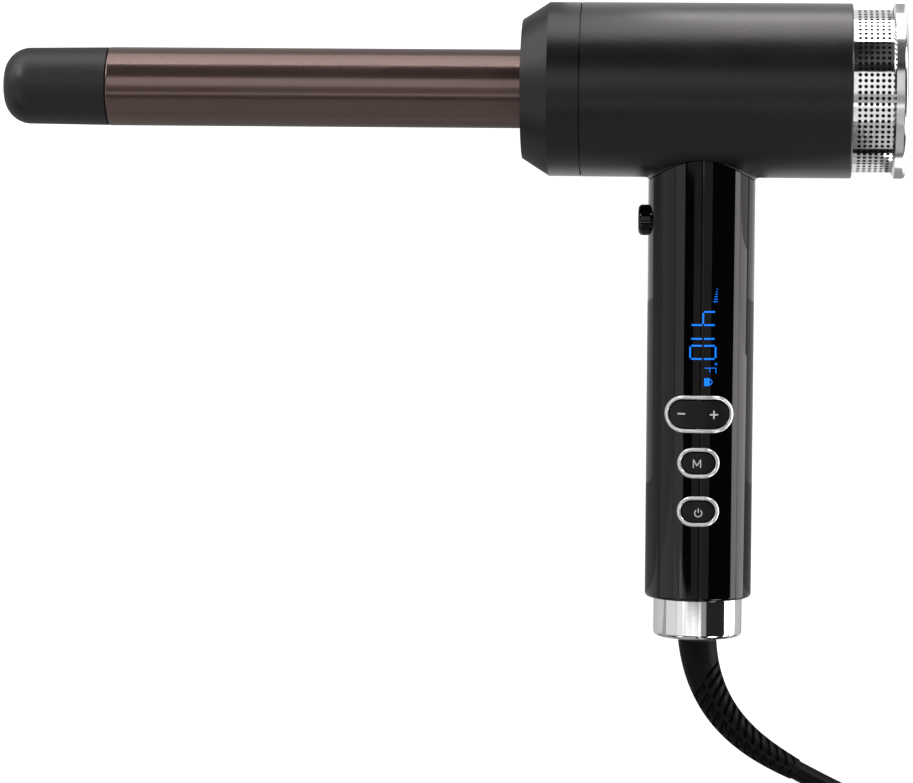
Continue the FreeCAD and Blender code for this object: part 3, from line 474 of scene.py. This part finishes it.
def on_sleeve(x, z, lift):
    """A point on the handle's face, lift above the gloss surface."""
    radius = SLEEVE_RAD_MM + lift
    return place(x, -math.sqrt(radius * radius - x * x), z)


# ---- cord: one spline from the strain relief through the whole coil to the plug ----

def coil_point(turns, radius, height):
    """Clockwise from the side nearest the wand."""
    angle = math.pi / 2 - 2 * math.pi * turns
    return COIL_CENTRE + Vector((radius * math.cos(angle), radius * math.sin(angle), height))


def coil_points():
    """Layers of level turns, wound in, out and in again, each stepping aside near its end."""
    rings = [COIL_MID_RAD + (step - (COIL_TURNS_ACROSS - 1) / 2) * CORD_DIAMETER
             for step in reversed(range(COIL_TURNS_ACROSS))]
    turns = []
    for layer in range(COIL_LAYERS):
        radii = rings if layer % 2 == 0 else list(reversed(rings))
        turns += [(radius, CORD_DIAMETER * (layer + 0.5)) for radius in radii]
    points = []
    for turned, (radius, height) in enumerate(turns):
        next_radius, next_height = turns[min(turned + 1, len(turns) - 1)]
        for index in range(1, COIL_POINTS_PER_TURN + 1):
            aside = max(0.0, (index - COIL_POINTS_PER_TURN + COIL_STEP_POINTS) / COIL_STEP_POINTS)
            points.append(coil_point(turned + index / COIL_POINTS_PER_TURN,
                                     radius + (next_radius - radius) * aside,
                                     height + (next_height - height) * aside))
    return points, len(turns)


# the cord's end climbs over the coil: turns past the last one, distance from the centre, height
COIL_CLIMB = [(0.09, 0.0262, 0.0178), (0.18, 0.0295, 0.0215), (0.26, 0.0350, 0.0248), (0.32, 0.0395, 0.0264)]
# and runs into the plug that lies on the coil
PLUG_TAIL = COIL_CENTRE + Vector((0.026, -COIL_MID_RAD, 0.0266))
CORD_END = [COIL_CENTRE + Vector((0.0370, -0.0285, 0.0268)),
            COIL_CENTRE + Vector((0.0330, -COIL_MID_RAD, 0.0266)), PLUG_TAIL]


def cord_points():
    """Route, coil, climb and end, as control points."""
    coil, turned = coil_points()
    climb = [coil_point(turned + more, radius, height) for more, radius, height in COIL_CLIMB]
    return [Vector(point) for point in CORD_ROUTE] + coil + climb + CORD_END


def make_cord():
    curve = bpy.data.curves.new("mains_cord", "CURVE")
    curve.dimensions = "3D"
    curve.bevel_depth = CORD_DIAMETER / 2
    curve.bevel_resolution = 6
    curve.resolution_u = 8
    curve.use_fill_caps = True
    points = cord_points()
    spline = curve.splines.new("NURBS")
    spline.points.add(len(points) - 1)
    for control, point in zip(spline.points, points):
        control.co = (point.x, point.y, point.z, 1.0)
    spline.order_u = 3
    spline.use_endpoint_u = True
    spline.use_smooth = True
    curve.materials.append(MATERIALS["cord_jacket"])
    cord = bpy.data.objects.new("mains_cord", curve)
    bpy.context.scene.collection.objects.link(cord)
    return cord


# ---- plug ----

PLUG_SECTIONS = [
    # distance behind the plug's face, half width, half height, squareness
    (0.0, 10.4, 6.2, 4.0), (0.8, 11.2, 6.9, 4.0), (4.0, 11.5, 7.0, 4.0), (10.0, 11.2, 7.0, 3.6),
    (16.0, 10.2, 6.9, 3.2), (22.0, 8.6, 6.5, 2.8), (27.0, 6.6, 5.8, 2.4), (31.0, 5.2, 5.0, 2.0),
    (34.0, 4.9, 4.9, 2.0),
]
PLUG_RELIEF = {"start": 34.0, "end": 55.0, "radius": 4.9, "taper": 1.2, "slot": 0.55, "slots_per_mm": 0.42,
               "slot_share": 0.38, "first": 0.05, "last": 0.93}
PLUG_GRIP = {"start": 8.0, "end": 24.0, "pitch": 2.0, "depth": 0.45}
ROUND = 2.0  # the squareness of a circle
PLUG_STEPS = 110
PLUG_RING = 48
PLUG_FACE = PLUG_TAIL - Vector((PLUG_RELIEF["end"] * MM, 0, 0))


def plug_ring(distance, half_wide, half_tall, square):
    """A rounded-square section of the plug, at a distance behind its face."""
    ring = []
    for index in range(PLUG_RING):
        angle = 2 * math.pi * index / PLUG_RING
        cosine, sine = math.cos(angle), math.sin(angle)
        across = math.copysign(abs(cosine) ** (2 / square), cosine) * half_wide
        upward = math.copysign(abs(sine) ** (2 / square), sine) * half_tall
        ring.append(PLUG_FACE + Vector((distance, across, upward)) * MM)
    return ring


def interpolate(stations, at):
    """Eased values between the two stations on either side of at."""
    for before, after in zip(stations, stations[1:]):
        if at <= after[0]:
            share = (at - before[0]) / (after[0] - before[0])
            share = share * share * (3 - 2 * share)
            return [low + (high - low) * share for low, high in zip(before[1:], after[1:])]
    return list(stations[-1][1:])


def plug_section(distance):
    """Half width, half height and squareness of the plug, at a distance behind its face."""
    relief, grip = PLUG_RELIEF, PLUG_GRIP
    if distance <= relief["start"]:
        wide, tall, square = interpolate(PLUG_SECTIONS, distance)
        if grip["start"] < distance < grip["end"]:
            wide -= grip["depth"] * max(0.0, math.sin((distance - grip["start"]) / grip["pitch"] * 2 * math.pi))
        return wide, tall, square
    along = (distance - relief["start"]) / (relief["end"] - relief["start"])
    radius = relief["radius"] - relief["taper"] * along
    in_slot = (distance * relief["slots_per_mm"]) % 1 < relief["slot_share"]
    if relief["first"] < along < relief["last"] and in_slot:
        radius -= relief["slot"]
    return radius, radius, ROUND


def make_plug():
    """Moulded plug body with finger ribs, running into a ribbed relief round the cord."""
    rings = []
    for index in range(PLUG_STEPS + 1):
        distance = PLUG_RELIEF["end"] * index / PLUG_STEPS
        rings += plug_ring(distance, *plug_section(distance))
    faces = capped(grid_faces(PLUG_STEPS + 1, PLUG_RING), PLUG_STEPS + 1, PLUG_RING)
    plug = mesh_object("plug_moulding", rings, faces, "rubber")
    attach(plug, "cord")
    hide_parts("plug_body")
    return plug


# ---- strain relief ----

RELIEF_HANDLES_MM = [(0, 0, -178.0), (2.2, 0, -204.0), (19.3, 3.5, -214.3), (32.4, 6.5, -221.6)]
RELIEF_RADII_MM = (6.25, 3.55)
RELIEF_SMOOTH_MM = 12.3
RELIEF_PITCH_MM = 3.4
RELIEF_SLOT_MM = 1.6
RELIEF_SLOT_DEPTH_MM = 1.35
# where a slot starts to fade and where it is gone: across its edge (inward, outward), at the bridge between
# two rows (as a share of a quarter turn from the row's middle), and at the ends of the slotted length
RELIEF_SLOT_WALL_MM = (0.22, 0.1)
RELIEF_BRIDGE = (0.4, 0.47)
RELIEF_SLOTS_START_MM = (-0.2, 0.2)
RELIEF_SLOTS_END_MM = (2.4, 1.6)
# depth and length of the rounding at the relief's end
RELIEF_RIM_MM = (0.25, 0.5)
RELIEF_SLANT = 0.67
RELIEF_RING = 128
RELIEF_STEPS = 360


def relief_curve(share):
    """Point and direction on the relief's centre line, in the design frame."""
    p0, p1, p2, p3 = [Vector(handle) for handle in RELIEF_HANDLES_MM]
    rest = 1 - share
    point = p0 * rest ** 3 + p1 * 3 * rest ** 2 * share + p2 * 3 * rest * share ** 2 + p3 * share ** 3
    slope = (p1 - p0) * rest ** 2 + (p2 - p1) * 2 * rest * share + (p3 - p2) * share ** 2
    return point, slope.normalized()


def smooth_step(value, low, high):
    share = min(1.0, max(0.0, (value - low) / (high - low)))
    return share * share * (3 - 2 * share)


def slot_depth(along, angle, radius, length):
    """How deep the slots cut at a place: four rows of slanted slots, every other row half a pitch on."""
    quarter = math.pi / 2
    row = math.floor(angle / quarter)
    across = angle / quarter - row - 0.5
    slanted = along + RELIEF_SLANT * radius * math.cos(angle) - RELIEF_SMOOTH_MM
    stagger = 0.5 * RELIEF_PITCH_MM if row % 2 else 0.0
    nearest = abs((slanted - stagger) / RELIEF_PITCH_MM % 1 - 0.5) * RELIEF_PITCH_MM
    inside, outside = RELIEF_SLOT_WALL_MM
    mask = 1 - smooth_step(nearest, RELIEF_SLOT_MM / 2 - inside, RELIEF_SLOT_MM / 2 + outside)
    mask *= 1 - smooth_step(abs(across), *RELIEF_BRIDGE)
    mask *= smooth_step(slanted, *RELIEF_SLOTS_START_MM)
    mask *= 1 - smooth_step(along, length - RELIEF_SLOTS_END_MM[0], length - RELIEF_SLOTS_END_MM[1])
    return RELIEF_SLOT_DEPTH_MM * mask


def make_relief():
    """Tapered strain relief that bends away from the handle, with a smooth root and slotted length."""
    centres = [relief_curve(index / RELIEF_STEPS) for index in range(RELIEF_STEPS + 1)]
    lengths = [0.0]
    for before, after in zip(centres, centres[1:]):
        lengths.append(lengths[-1] + (after[0] - before[0]).length)
    side = Vector((0, 1, 0))
    points = []
    for index, (centre, slope) in enumerate(centres):
        across = slope.cross(side).normalized()
        other = across.cross(slope).normalized()
        share = index / RELIEF_STEPS
        radius = RELIEF_RADII_MM[0] + (RELIEF_RADII_MM[1] - RELIEF_RADII_MM[0]) * share
        rim = RELIEF_RIM_MM[0] * (1 - smooth_step(lengths[-1] - lengths[index], 0.0, RELIEF_RIM_MM[1]))
        for step in range(RELIEF_RING):
            angle = 2 * math.pi * step / RELIEF_RING
            slot = slot_depth(lengths[index], angle, radius, lengths[-1])
            reach = radius - slot * radius / RELIEF_RADII_MM[0] - rim
            point = centre + across * (math.cos(angle) * reach) + other * (math.sin(angle) * reach)
            points.append(place(*point))
    faces = capped(grid_faces(RELIEF_STEPS + 1, RELIEF_RING), RELIEF_STEPS + 1, RELIEF_RING)
    relief = mesh_object("strain_relief_slotted", points, faces, "rubber")
    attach(relief, "cord")
    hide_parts("strain_relief")


def make_cord_set():
    make_relief()
    plug = make_plug()
    cord = make_cord()
    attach(cord, "cord")
    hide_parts("cord_run", "cord_coil")


make_cord_set()


# ---- perforated intake band ----

GRILLE_ROWS = 88
GRILLE_COLUMNS = 7
GRILLE_FIRST_MM = 49.82
GRILLE_PITCH_MM = 1.84
GRILLE_HOLE_RAD_MM = 0.6
GRILLE_RAD_MM = 26.05
GRILLE_WALL_MM = 0.5
GRILLE_FRONT_MM = 43.0
GRILLE_BACK_MM = 61.9
TURN_STEPS = 100000
CELL_OUTLINE = [(1, 0), (1, 0.5), (1, 1), (0.5, 1), (0, 1), (-0.5, 1), (-1, 1), (-1, 0.5),
                (-1, 0), (-1, -0.5), (-1, -1), (-0.5, -1), (0, -1), (0.5, -1), (1, -1), (1, -0.5)]
CELL_EDGE_STEPS = 4


class BandMesh:
    """Points of a round band about X, shared between neighbouring cells."""

    def __init__(self):
        self.points = []
        self.faces = []
        self.known = {}

    def point(self, x, angle, radius):
        """The number of a point, made once: x counts to a micrometre and the angle to 1 / TURN_STEPS turn."""
        turn = round(angle / (2 * math.pi) * TURN_STEPS) % TURN_STEPS
        key = (round(x * 1000), turn, radius)
        if key not in self.known:
            self.known[key] = len(self.points)
            self.points.append(place(x, radius * math.sin(angle), radius * math.cos(angle)))
        return self.known[key]

    def strip(self, near, far):
        """Quads between two loops of (x, angle, radius)."""
        count = len(near)
        for index in range(count):
            after = (index + 1) % count
            corners = (near[index], near[after], far[after], far[index])
            self.faces.append(tuple(self.point(*spot) for spot in corners))


def grille_cell(band, x, angle):
    """One cell of the band with its round hole, on both skins."""
    reach = math.pi / GRILLE_ROWS
    count = len(CELL_OUTLINE)
    edge = [(x + across * GRILLE_PITCH_MM / 2, angle + along * reach) for across, along in CELL_OUTLINE]
    hole = []
    for index in range(count):
        turn = 2 * math.pi * index / count
        hole.append((x + GRILLE_HOLE_RAD_MM * math.cos(turn),
                     angle + GRILLE_HOLE_RAD_MM * math.sin(turn) / GRILLE_RAD_MM))
    inner = GRILLE_RAD_MM - GRILLE_WALL_MM
    edge_out, edge_in = [[spot + (radius,) for spot in edge] for radius in (GRILLE_RAD_MM, inner)]
    hole_out, hole_in = [[spot + (radius,) for spot in hole] for radius in (GRILLE_RAD_MM, inner)]
    band.strip(edge_out, hole_out)
    band.strip(hole_in, edge_in)
    band.strip(hole_out, hole_in)


def make_grille():
    """Chrome band with rows of round holes; its spigot sits in the head and its back edge in the rim."""
    band = BandMesh()
    for column in range(GRILLE_COLUMNS):
        for row in range(GRILLE_ROWS):
            grille_cell(band, GRILLE_FIRST_MM + GRILLE_PITCH_MM * column, 2 * math.pi * row / GRILLE_ROWS)
    inner = GRILLE_RAD_MM - GRILLE_WALL_MM
    steps = GRILLE_ROWS * CELL_EDGE_STEPS
    turns = [2 * math.pi * (step - CELL_EDGE_STEPS // 2) / steps for step in range(steps)]
    cells_front = GRILLE_FIRST_MM - GRILLE_PITCH_MM / 2
    cells_back = cells_front + GRILLE_PITCH_MM * GRILLE_COLUMNS
    corners = [(cells_front, inner), (GRILLE_FRONT_MM, inner), (GRILLE_FRONT_MM, GRILLE_RAD_MM),
               (cells_front, GRILLE_RAD_MM)]
    corners_back = [(cells_back, GRILLE_RAD_MM), (GRILLE_BACK_MM, GRILLE_RAD_MM), (GRILLE_BACK_MM, inner),
                    (cells_back, inner)]
    for section in (corners, corners_back):
        for (x, radius), (next_x, next_radius) in zip(section, section[1:]):
            band.strip([(next_x, turn, next_radius) for turn in turns], [(x, turn, radius) for turn in turns])
    grille = mesh_object("grille_perforated", band.points, band.faces, "chrome_mesh")
    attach(grille, "wand")
    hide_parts("intake_grille")


make_grille()


# ---- blend between the head and the seam of the handle ----

# the saddle under the head ends on a cylinder along X, whose axis lies SEAM_DROP_MM below the head's
SEAM_RAD_MM = 24.7
SEAM_DROP_MM = 4.2
BLEND_WIDTH_MM = 1.6
BLEND_FULL_DROP_MM = 0.85
BLEND_LEAST_DROP_MM = 0.04
BLEND_GAP_MM = 0.015
BLEND_BURY_MM = (0.3, 0.4)
BLEND_LIP_MM = 0.02
BLEND_START = 0.1
BLEND_SPAN = 0.8
BLEND_STATIONS = 60
BLEND_CURVE = 8


def blend_section(angle):
    """Points round the blend's section at an angle about the handle, or none where it has run out."""
    sine, cosine = math.sin(angle), math.cos(angle)

    def on_head(radius):
        return -math.sqrt(HEAD_RAD_MM ** 2 - (radius * cosine) ** 2)

    seam = -(SEAM_DROP_MM + math.sqrt(SEAM_RAD_MM ** 2 - (SLEEVE_RAD_MM * cosine) ** 2))
    drop = on_head(SLEEVE_RAD_MM) - seam
    if drop < BLEND_LEAST_DROP_MM:
        return None
    wide = BLEND_WIDTH_MM * drop / BLEND_FULL_DROP_MM
    start = (SLEEVE_RAD_MM + BLEND_GAP_MM, seam)
    corner = (SLEEVE_RAD_MM + BLEND_GAP_MM, on_head(SLEEVE_RAD_MM))
    end = (SLEEVE_RAD_MM + wide, on_head(SLEEVE_RAD_MM + wide))
    spots = []
    for index in range(BLEND_CURVE + 1):
        share = index / BLEND_CURVE
        spots.append([start[axis] * (1 - share) ** 2 + corner[axis] * 2 * share * (1 - share)
                      + end[axis] * share ** 2 for axis in (0, 1)])
    inward, upward = BLEND_BURY_MM
    spots.append((end[0], end[1] + upward))
    spots.append((start[0] - inward, end[1] + upward))
    spots.append((start[0] - inward, seam + BLEND_LIP_MM))
    return [place(radius * sine, -radius * cosine, z) for radius, z in spots]


def make_blend(name, side):
    """Fillet on one side of the handle, closed inside the head."""
    sections = []
    for index in range(BLEND_STATIONS + 1):
        section = blend_section(side * math.pi * (BLEND_START + BLEND_SPAN * index / BLEND_STATIONS))
        if section:
            sections.append(section)
    points = [point for section in sections for point in section]
    rows, columns = len(sections), len(sections[0])
    blend = mesh_object(name, points, capped(grid_faces(rows, columns), rows, columns), "matte_black")
    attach(blend, "wand")


make_blend("saddle_blend_right", 1)
make_blend("saddle_blend_left", -1)


# ---- keys and display ----

BEZEL_WIDTH_MM = 1.22
# section of a bezel: half widths out from its middle line, height above the handle in millimetres
BEZEL_CROWN = [(1.0, -1.2), (1.0, 0.05), (0.88, 0.3), (0.62, 0.47), (0.25, 0.55), (-0.25, 0.55), (-0.62, 0.47),
               (-0.88, 0.3), (-1.0, 0.05), (-1.0, -1.2)]


def stadium_path(half_long, half_wide, arc_steps=14, line_steps=10):
    """Points and outward directions round a long round-ended outline."""
    reach = half_long - half_wide
    path = []
    for side in (1, -1):
        for index in range(arc_steps + 1):
            angle = -side * math.pi / 2 + math.pi * index / arc_steps
            direction = (math.cos(angle), math.sin(angle))
            path.append((side * reach + half_wide * direction[0], half_wide * direction[1], direction))
        for index in range(1, line_steps):
            x = side * (reach - 2 * reach * index / line_steps)
            path.append((x, side * half_wide, (0.0, float(side))))
    return path


def make_bezel(name, node, key):
    """Chrome ring with a rounded crown that follows the handle's curve."""
    middle = BEZEL_WIDTH_MM / 2
    path = stadium_path(key["half_long"] - middle, key["half_wide"] - middle)
    points = []
    for x, z, (out_x, out_z) in path:
        for offset, lift in BEZEL_CROWN:
            points.append(on_sleeve(x + out_x * offset * middle,
                                    key["height"] + z + out_z * offset * middle, lift))
    ring = mesh_object(name, points, grid_faces(len(path), len(BEZEL_CROWN), wrap_rows=True), "bezel_chrome")
    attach(ring, "wand")
    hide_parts(node)


def stroke(path, width, lift=0.07, depth=0.25, step=0.35):
    """A closed bar of constant width along a path on the handle's face: (points, faces)."""
    stations = [path[0]]
    for (x0, z0), (x1, z1) in zip(path, path[1:]):
        count = max(1, math.ceil(math.hypot(x1 - x0, z1 - z0) / step))
        stations += [(x0 + (x1 - x0) * k / count, z0 + (z1 - z0) * k / count) for k in range(1, count + 1)]
    points = []
    for index, (x, z) in enumerate(stations):
        before = stations[max(index - 1, 0)]
        after = stations[min(index + 1, len(stations) - 1)]
        span = math.hypot(after[0] - before[0], after[1] - before[1])
        side_x = -(after[1] - before[1]) / span * width / 2
        side_z = (after[0] - before[0]) / span * width / 2
        for across, height in ((1, lift), (-1, lift), (-1, -depth), (1, -depth)):
            points.append(on_sleeve(x + side_x * across, z + side_z * across, height))
    return points, capped(grid_faces(len(stations), 4), len(stations), 4)


def marks(name, strokes, material, body):
    """Several strokes as one piece."""
    points, faces = [], []
    for more_points, more_faces in strokes:
        start = len(points)
        points += more_points
        faces += [tuple(index + start for index in face) for face in more_faces]
    piece = mesh_object(name, points, faces, material, smooth=False)
    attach(piece, body)


def arc_path(x, z, radius, start, end, count=14):
    """Points of an arc on the handle's face, between two angles in degrees."""
    return [(x + radius * math.cos(math.radians(start + (end - start) * k / count)),
             z + radius * math.sin(math.radians(start + (end - start) * k / count))) for k in range(count + 1)]


DIGIT_SEGMENTS = {"4": "fgbc", "1": "bc", "0": "abcdef"}
DIGIT_PLACES = (("4", -70.35), ("1", -74.75), ("0", -81.2))
DIGIT_TALL_MM = 8.1
DIGIT_WIDE_MM = 4.23
DIGIT_LINE_MM = 0.54
DIGIT_GAP_MM = 0.34
DISPLAY_CENTRE_X_MM = 1.08
TICKS = {"count": 6, "first": -63.1, "pitch": 0.8, "left": 5.3, "grow": 0.2, "right": 5.6, "line": 0.26}
DEGREE = {"arc": (5.3, -87.05, 0.34, 0, 360), "line": 0.16}
UNIT_LETTER = {"lines": [[(1.7, -88.35), (5.4, -88.35)], [(5.3, -88.45), (5.3, -89.95)],
                         [(3.35, -88.45), (3.35, -89.8)]], "line": 0.22}
LOCK = {"body": [(2.45, -91.6), (2.45, -94.1)], "body_line": 1.75, "shackle": (3.3, -92.85, 0.8, 90, -90),
        "shackle_line": 0.28}


def segment_lines(left, digit):
    """Lines of a seven-segment digit that reads down the handle, its top towards +X."""
    tall, wide, gap = DIGIT_TALL_MM / 2, DIGIT_WIDE_MM, DIGIT_GAP_MM
    lines = {
        "a": ((gap, tall), (wide - gap, tall)), "d": ((gap, -tall), (wide - gap, -tall)),
        "g": ((gap, 0), (wide - gap, 0)),
        "f": ((0, gap), (0, tall - gap)), "e": ((0, -gap), (0, gap - tall)),
        "b": ((wide, gap), (wide, tall - gap)), "c": ((wide, -gap), (wide, gap - tall)),
    }
    for name in DIGIT_SEGMENTS[digit]:
        yield [(DISPLAY_CENTRE_X_MM + up, left - along) for along, up in lines[name]]


def make_display():
    """Blue figures that shine through the gloss shell: tick marks, a temperature, its unit and a lock."""
    strokes = []
    for digit, left in DIGIT_PLACES:
        strokes += [stroke(line, DIGIT_LINE_MM) for line in segment_lines(left, digit)]
    for index in range(TICKS["count"]):
        z = TICKS["first"] - TICKS["pitch"] * index
        strokes.append(stroke([(TICKS["left"] - TICKS["grow"] * index, z), (TICKS["right"], z)], TICKS["line"]))
    strokes.append(stroke(arc_path(*DEGREE["arc"]), DEGREE["line"]))
    strokes += [stroke(line, UNIT_LETTER["line"]) for line in UNIT_LETTER["lines"]]
    strokes.append(stroke(LOCK["body"], LOCK["body_line"]))
    strokes.append(stroke(arc_path(*LOCK["shackle"]), LOCK["shackle_line"]))
    marks("display_figures", strokes, "display_blue", "wand")


# printed signs of the keys: the sign's middle from the key's middle, and its lines from there
ROCKER_SIGNS = {"middle": (0.0, 0.0), "line": 0.5,
                "lines": [[(-6.85, 0.1), (-4.35, 0.1)], [(3.5, -0.1), (6.15, -0.1)],
                          [(4.83, -1.4), (4.83, 1.2)]]}
MODE_SIGN = {"middle": (-0.42, -0.19), "line": 0.34,
             "lines": [[(-1.15, -1.35), (-1.15, 1.35), (0.0, -0.7), (1.15, 1.35), (1.15, -1.35)]]}
POWER_SIGN = {"middle": (0.13, -0.5), "line": 0.36,
              "lines": [arc_path(0.0, 0.0, 1.15, 125, 415, 24), [(0.0, 0.15), (0.0, 1.6)]]}


def make_key_sign(name, key, sign, body):
    """Minus and plus, a letter M or a power sign, on a key."""
    x, z = sign["middle"][0], key["height"] + sign["middle"][1]
    strokes = [stroke([(x + aside, z + up) for aside, up in line], sign["line"]) for line in sign["lines"]]
    marks(name, strokes, "key_mark", body)


make_bezel("bezel_rocker_ring", "bezel_rocker", ROCKER)
make_bezel("bezel_mode_ring", "bezel_mode", MODE)
make_bezel("bezel_power_ring", "bezel_power", POWER)
make_display()
make_key_sign("rocker_marks", ROCKER, ROCKER_SIGNS, "rocker")
make_key_sign("mode_mark", MODE, MODE_SIGN, "mode_button")
make_key_sign("power_mark", POWER, POWER_SIGN, "power_button")


# ---- floor and studio light ----

FLOOR_HALF = 6.0

# Every panel is placed by the reflection it makes. The head and barrel mirror what lies in front and behind,
# the handle and its ring what lies left and right, and all of them the panels overhead.
UPRIGHT_PANELS = [
    # name, centre x, y, width, low edge, high edge, radiance; they face the wand along Y
    ("back_left", -0.28, 1.1, 0.7, 0.01, 0.41, 2.1),
    ("back_right", 0.16, 1.1, 0.18, 0.01, 0.36, 5.2),
    ("back_far_right", 0.49, 1.1, 0.48, 0.01, 0.36, 1.1),
    ("front_barrel", -0.34, -1.1, 0.72, 0.02, 1.6, 0.38),
    ("front_head", 0.09, -1.1, 0.14, 0.02, 0.9, 0.15),
    ("front_right", 0.235, -1.1, 0.14, 0.02, 1.25, 0.62),
    ("back_line", -0.28, 1.1, 0.7, 0.425, 0.445, 13.0),
    ("back_chrome", 0.29, 1.12, 0.24, 0.36, 1.5, 0.1),
]
AIMED_PANELS = [
    # name, centre, target, size, radiance
    ("right", (0.95, -0.02, 0.12), (0, -0.02, 0.12), (1.1, 0.22), 3.2),
    ("back_tip", (-0.72, 0.95, 0.25), (-0.13, 0.1, 0.03), (0.4, 0.45), 2.6),
    ("side_left", (-1.0, 0.56, 0.2), (0, 0, 0.2), (0.5, 0.34), 2.2),
    ("left_ring", (-0.93, -0.245, 0.36), (0, -0.245, 0.36), (0.12, 0.68), 0.2),
    ("left", (-0.95, -0.1, 0.36), (0, -0.1, 0.36), (0.9, 0.68), 0.6),
]
KEY_PANELS = [
    # name, x, y, radiance; they light the wand from above
    ("key_ne", 1.15, 1.15, 11.0), ("key_nw", -1.15, 1.15, 8.0), ("key_se", 1.15, -1.15, 7.0),
    ("key_sw", -1.15, -1.15, 1.5),
]
KEY_HEIGHT = 1.0
KEY_SIZE = (0.6, 0.6)
ON_TABLE = 0.002
OVERHEAD = 1.2
UNDER_OVERHEAD = 1.19
FLAT_PANELS = [
    # name, x from, x to, y from, y to, height, radiance; those on the table face up, the others down
    ("table_back_left", -0.5, 0.06, 0.21, 0.8, ON_TABLE, 1.2),
    ("table_back_right", 0.06, 0.165, 0.195, 0.8, ON_TABLE, 4.4),
    ("table_back_far_right", 0.165, 0.6, 0.195, 0.8, ON_TABLE, 0.8),
    ("table_right_back", 0.155, 0.7, 0.045, 0.09, ON_TABLE, 0.7),
    ("table_right", 0.155, 0.7, 0.01, 0.045, ON_TABLE, 2.0),
    ("table_right_front", 0.143, 0.7, -0.125, 0.01, ON_TABLE, 2.4),
    ("over_barrel", -0.6, -0.03, 0.1, 0.62, OVERHEAD, 1.15),
    ("over_head", -0.03, 0.15, 0.0, 0.56, OVERHEAD, 0.6),
    ("over_chrome_back", 0.15, 0.2, -0.05, 0.62, OVERHEAD, 1.15),
    ("over_chrome", 0.15, 0.2, -0.33, -0.05, OVERHEAD, 0.5),
    ("over_chrome_front", 0.15, 0.2, -1.1, -0.33, OVERHEAD, 1.0),
    ("over_rim_back", 0.2, 0.3, 0.09, 0.62, OVERHEAD, 0.8),
    ("over_rim_front", 0.2, 0.3, -1.1, -0.5, OVERHEAD, 0.8),
    ("over_handle_far_left", -1.65, -0.72, -0.35, 0.09, OVERHEAD, 0.8),
    ("over_handle_front", -0.6, 0.095, -0.5, -0.33, OVERHEAD, 0.28),
    ("over_handle_left", -0.22, 0.095, -0.33, -0.05, OVERHEAD, 0.28),
    ("over_handle_back", -0.6, 0.095, -0.05, 0.09, OVERHEAD, 0.28),
    ("table_under_head_left", 0.025, 0.06, 0.03, 0.07, ON_TABLE, 0.7),
    ("table_left_low", 0.025, 0.06, -0.03, 0.03, ON_TABLE, 0.25),
    ("table_under_head_right", 0.1015, 0.14, 0.03, 0.07, ON_TABLE, 0.6),
    ("table_right_low", 0.1015, 0.14, -0.03, 0.03, ON_TABLE, 0.2),
    ("table_head_back", 0.035, 0.142, 0.13, 0.195, ON_TABLE, 0.5),
    ("table_chrome_back", 0.15, 0.2, 0.13, 0.195, ON_TABLE, 0.8),
    ("table_ring_left", -0.1, 0.06, -0.088, -0.066, ON_TABLE, 0.3),
    ("table_ring_right", 0.102, 0.25, -0.088, -0.066, ON_TABLE, 0.3),
    ("over_handle_right", 0.2, 0.6, -0.5, 0.09, OVERHEAD, 0.3),
    ("over_ring", -0.35, 0.3, -0.43, -0.309, UNDER_OVERHEAD, 1.0),
    ("over_ring_left", -0.9, -0.35, -0.46, -0.315, UNDER_OVERHEAD, 1.0),
    ("over_ring_far_left", -1.65, -0.9, -0.6, -0.35, UNDER_OVERHEAD, 0.95),
]


def make_floor():
    corners = [(-FLOOR_HALF, -FLOOR_HALF, 0), (FLOOR_HALF, -FLOOR_HALF, 0),
               (FLOOR_HALF, FLOOR_HALF, 0), (-FLOOR_HALF, FLOOR_HALF, 0)]
    floor = mesh_object("floor", corners, [(0, 1, 2, 3)], "floor", smooth=False)


def panel(name, centre, target, size, radiance):
    """A softbox: a one-sided glowing rectangle, given by how bright it looks."""
    data = bpy.data.lights.new(name, "AREA")
    data.shape = "RECTANGLE"
    data.size, data.size_y = size
    data.energy = radiance * math.pi * size[0] * size[1]
    light = bpy.data.objects.new(name, data)
    bpy.context.scene.collection.objects.link(light)
    light.location = centre
    aim = Vector(target) - Vector(centre)
    light.rotation_euler = aim.to_track_quat("-Z", "Y").to_euler()
    light.visible_camera = False


def make_lights():
    """Softboxes all round, glowing table edges, panels overhead with dark gaps between them, and four keys."""
    for name, x, y, wide, low, high, radiance in UPRIGHT_PANELS:
        middle = (low + high) / 2
        panel(name, (x, y, middle), (x, 0, middle), (wide, high - low), radiance)
    for row in AIMED_PANELS:
        panel(*row)
    for name, left, right, near, far, height, radiance in FLAT_PANELS:
        x, y = (left + right) / 2, (near + far) / 2
        target = (x, y, 1.0 if height == ON_TABLE else 0.0)
        panel(name, (x, y, height), target, (right - left, far - near), radiance)
    for name, x, y, radiance in KEY_PANELS:
        panel(name, (x, y, KEY_HEIGHT), (0, 0, 0), KEY_SIZE, radiance)


WORLD_GLOW = 0.02


def make_world():
    """White for the camera, nearly dark for everything else."""
    world = bpy.data.worlds.new("studio")
    world.use_nodes = True
    tree = world.node_tree
    glow = tree.nodes["Background"]
    glow.inputs["Color"].default_value = (1, 1, 1, 1)
    path = tree.nodes.new("ShaderNodeLightPath")
    strength = tree.nodes.new("ShaderNodeMapRange")
    strength.inputs["To Min"].default_value = WORLD_GLOW
    strength.inputs["To Max"].default_value = 1.0
    tree.links.new(path.outputs["Is Camera Ray"], strength.inputs["Value"])
    tree.links.new(strength.outputs["Result"], glow.inputs["Strength"])
    bpy.context.scene.world = world


make_floor()
make_lights()
make_world()
bpy.context.scene.view_settings.view_transform = "Standard"
bpy.context.scene.view_settings.look = "None"
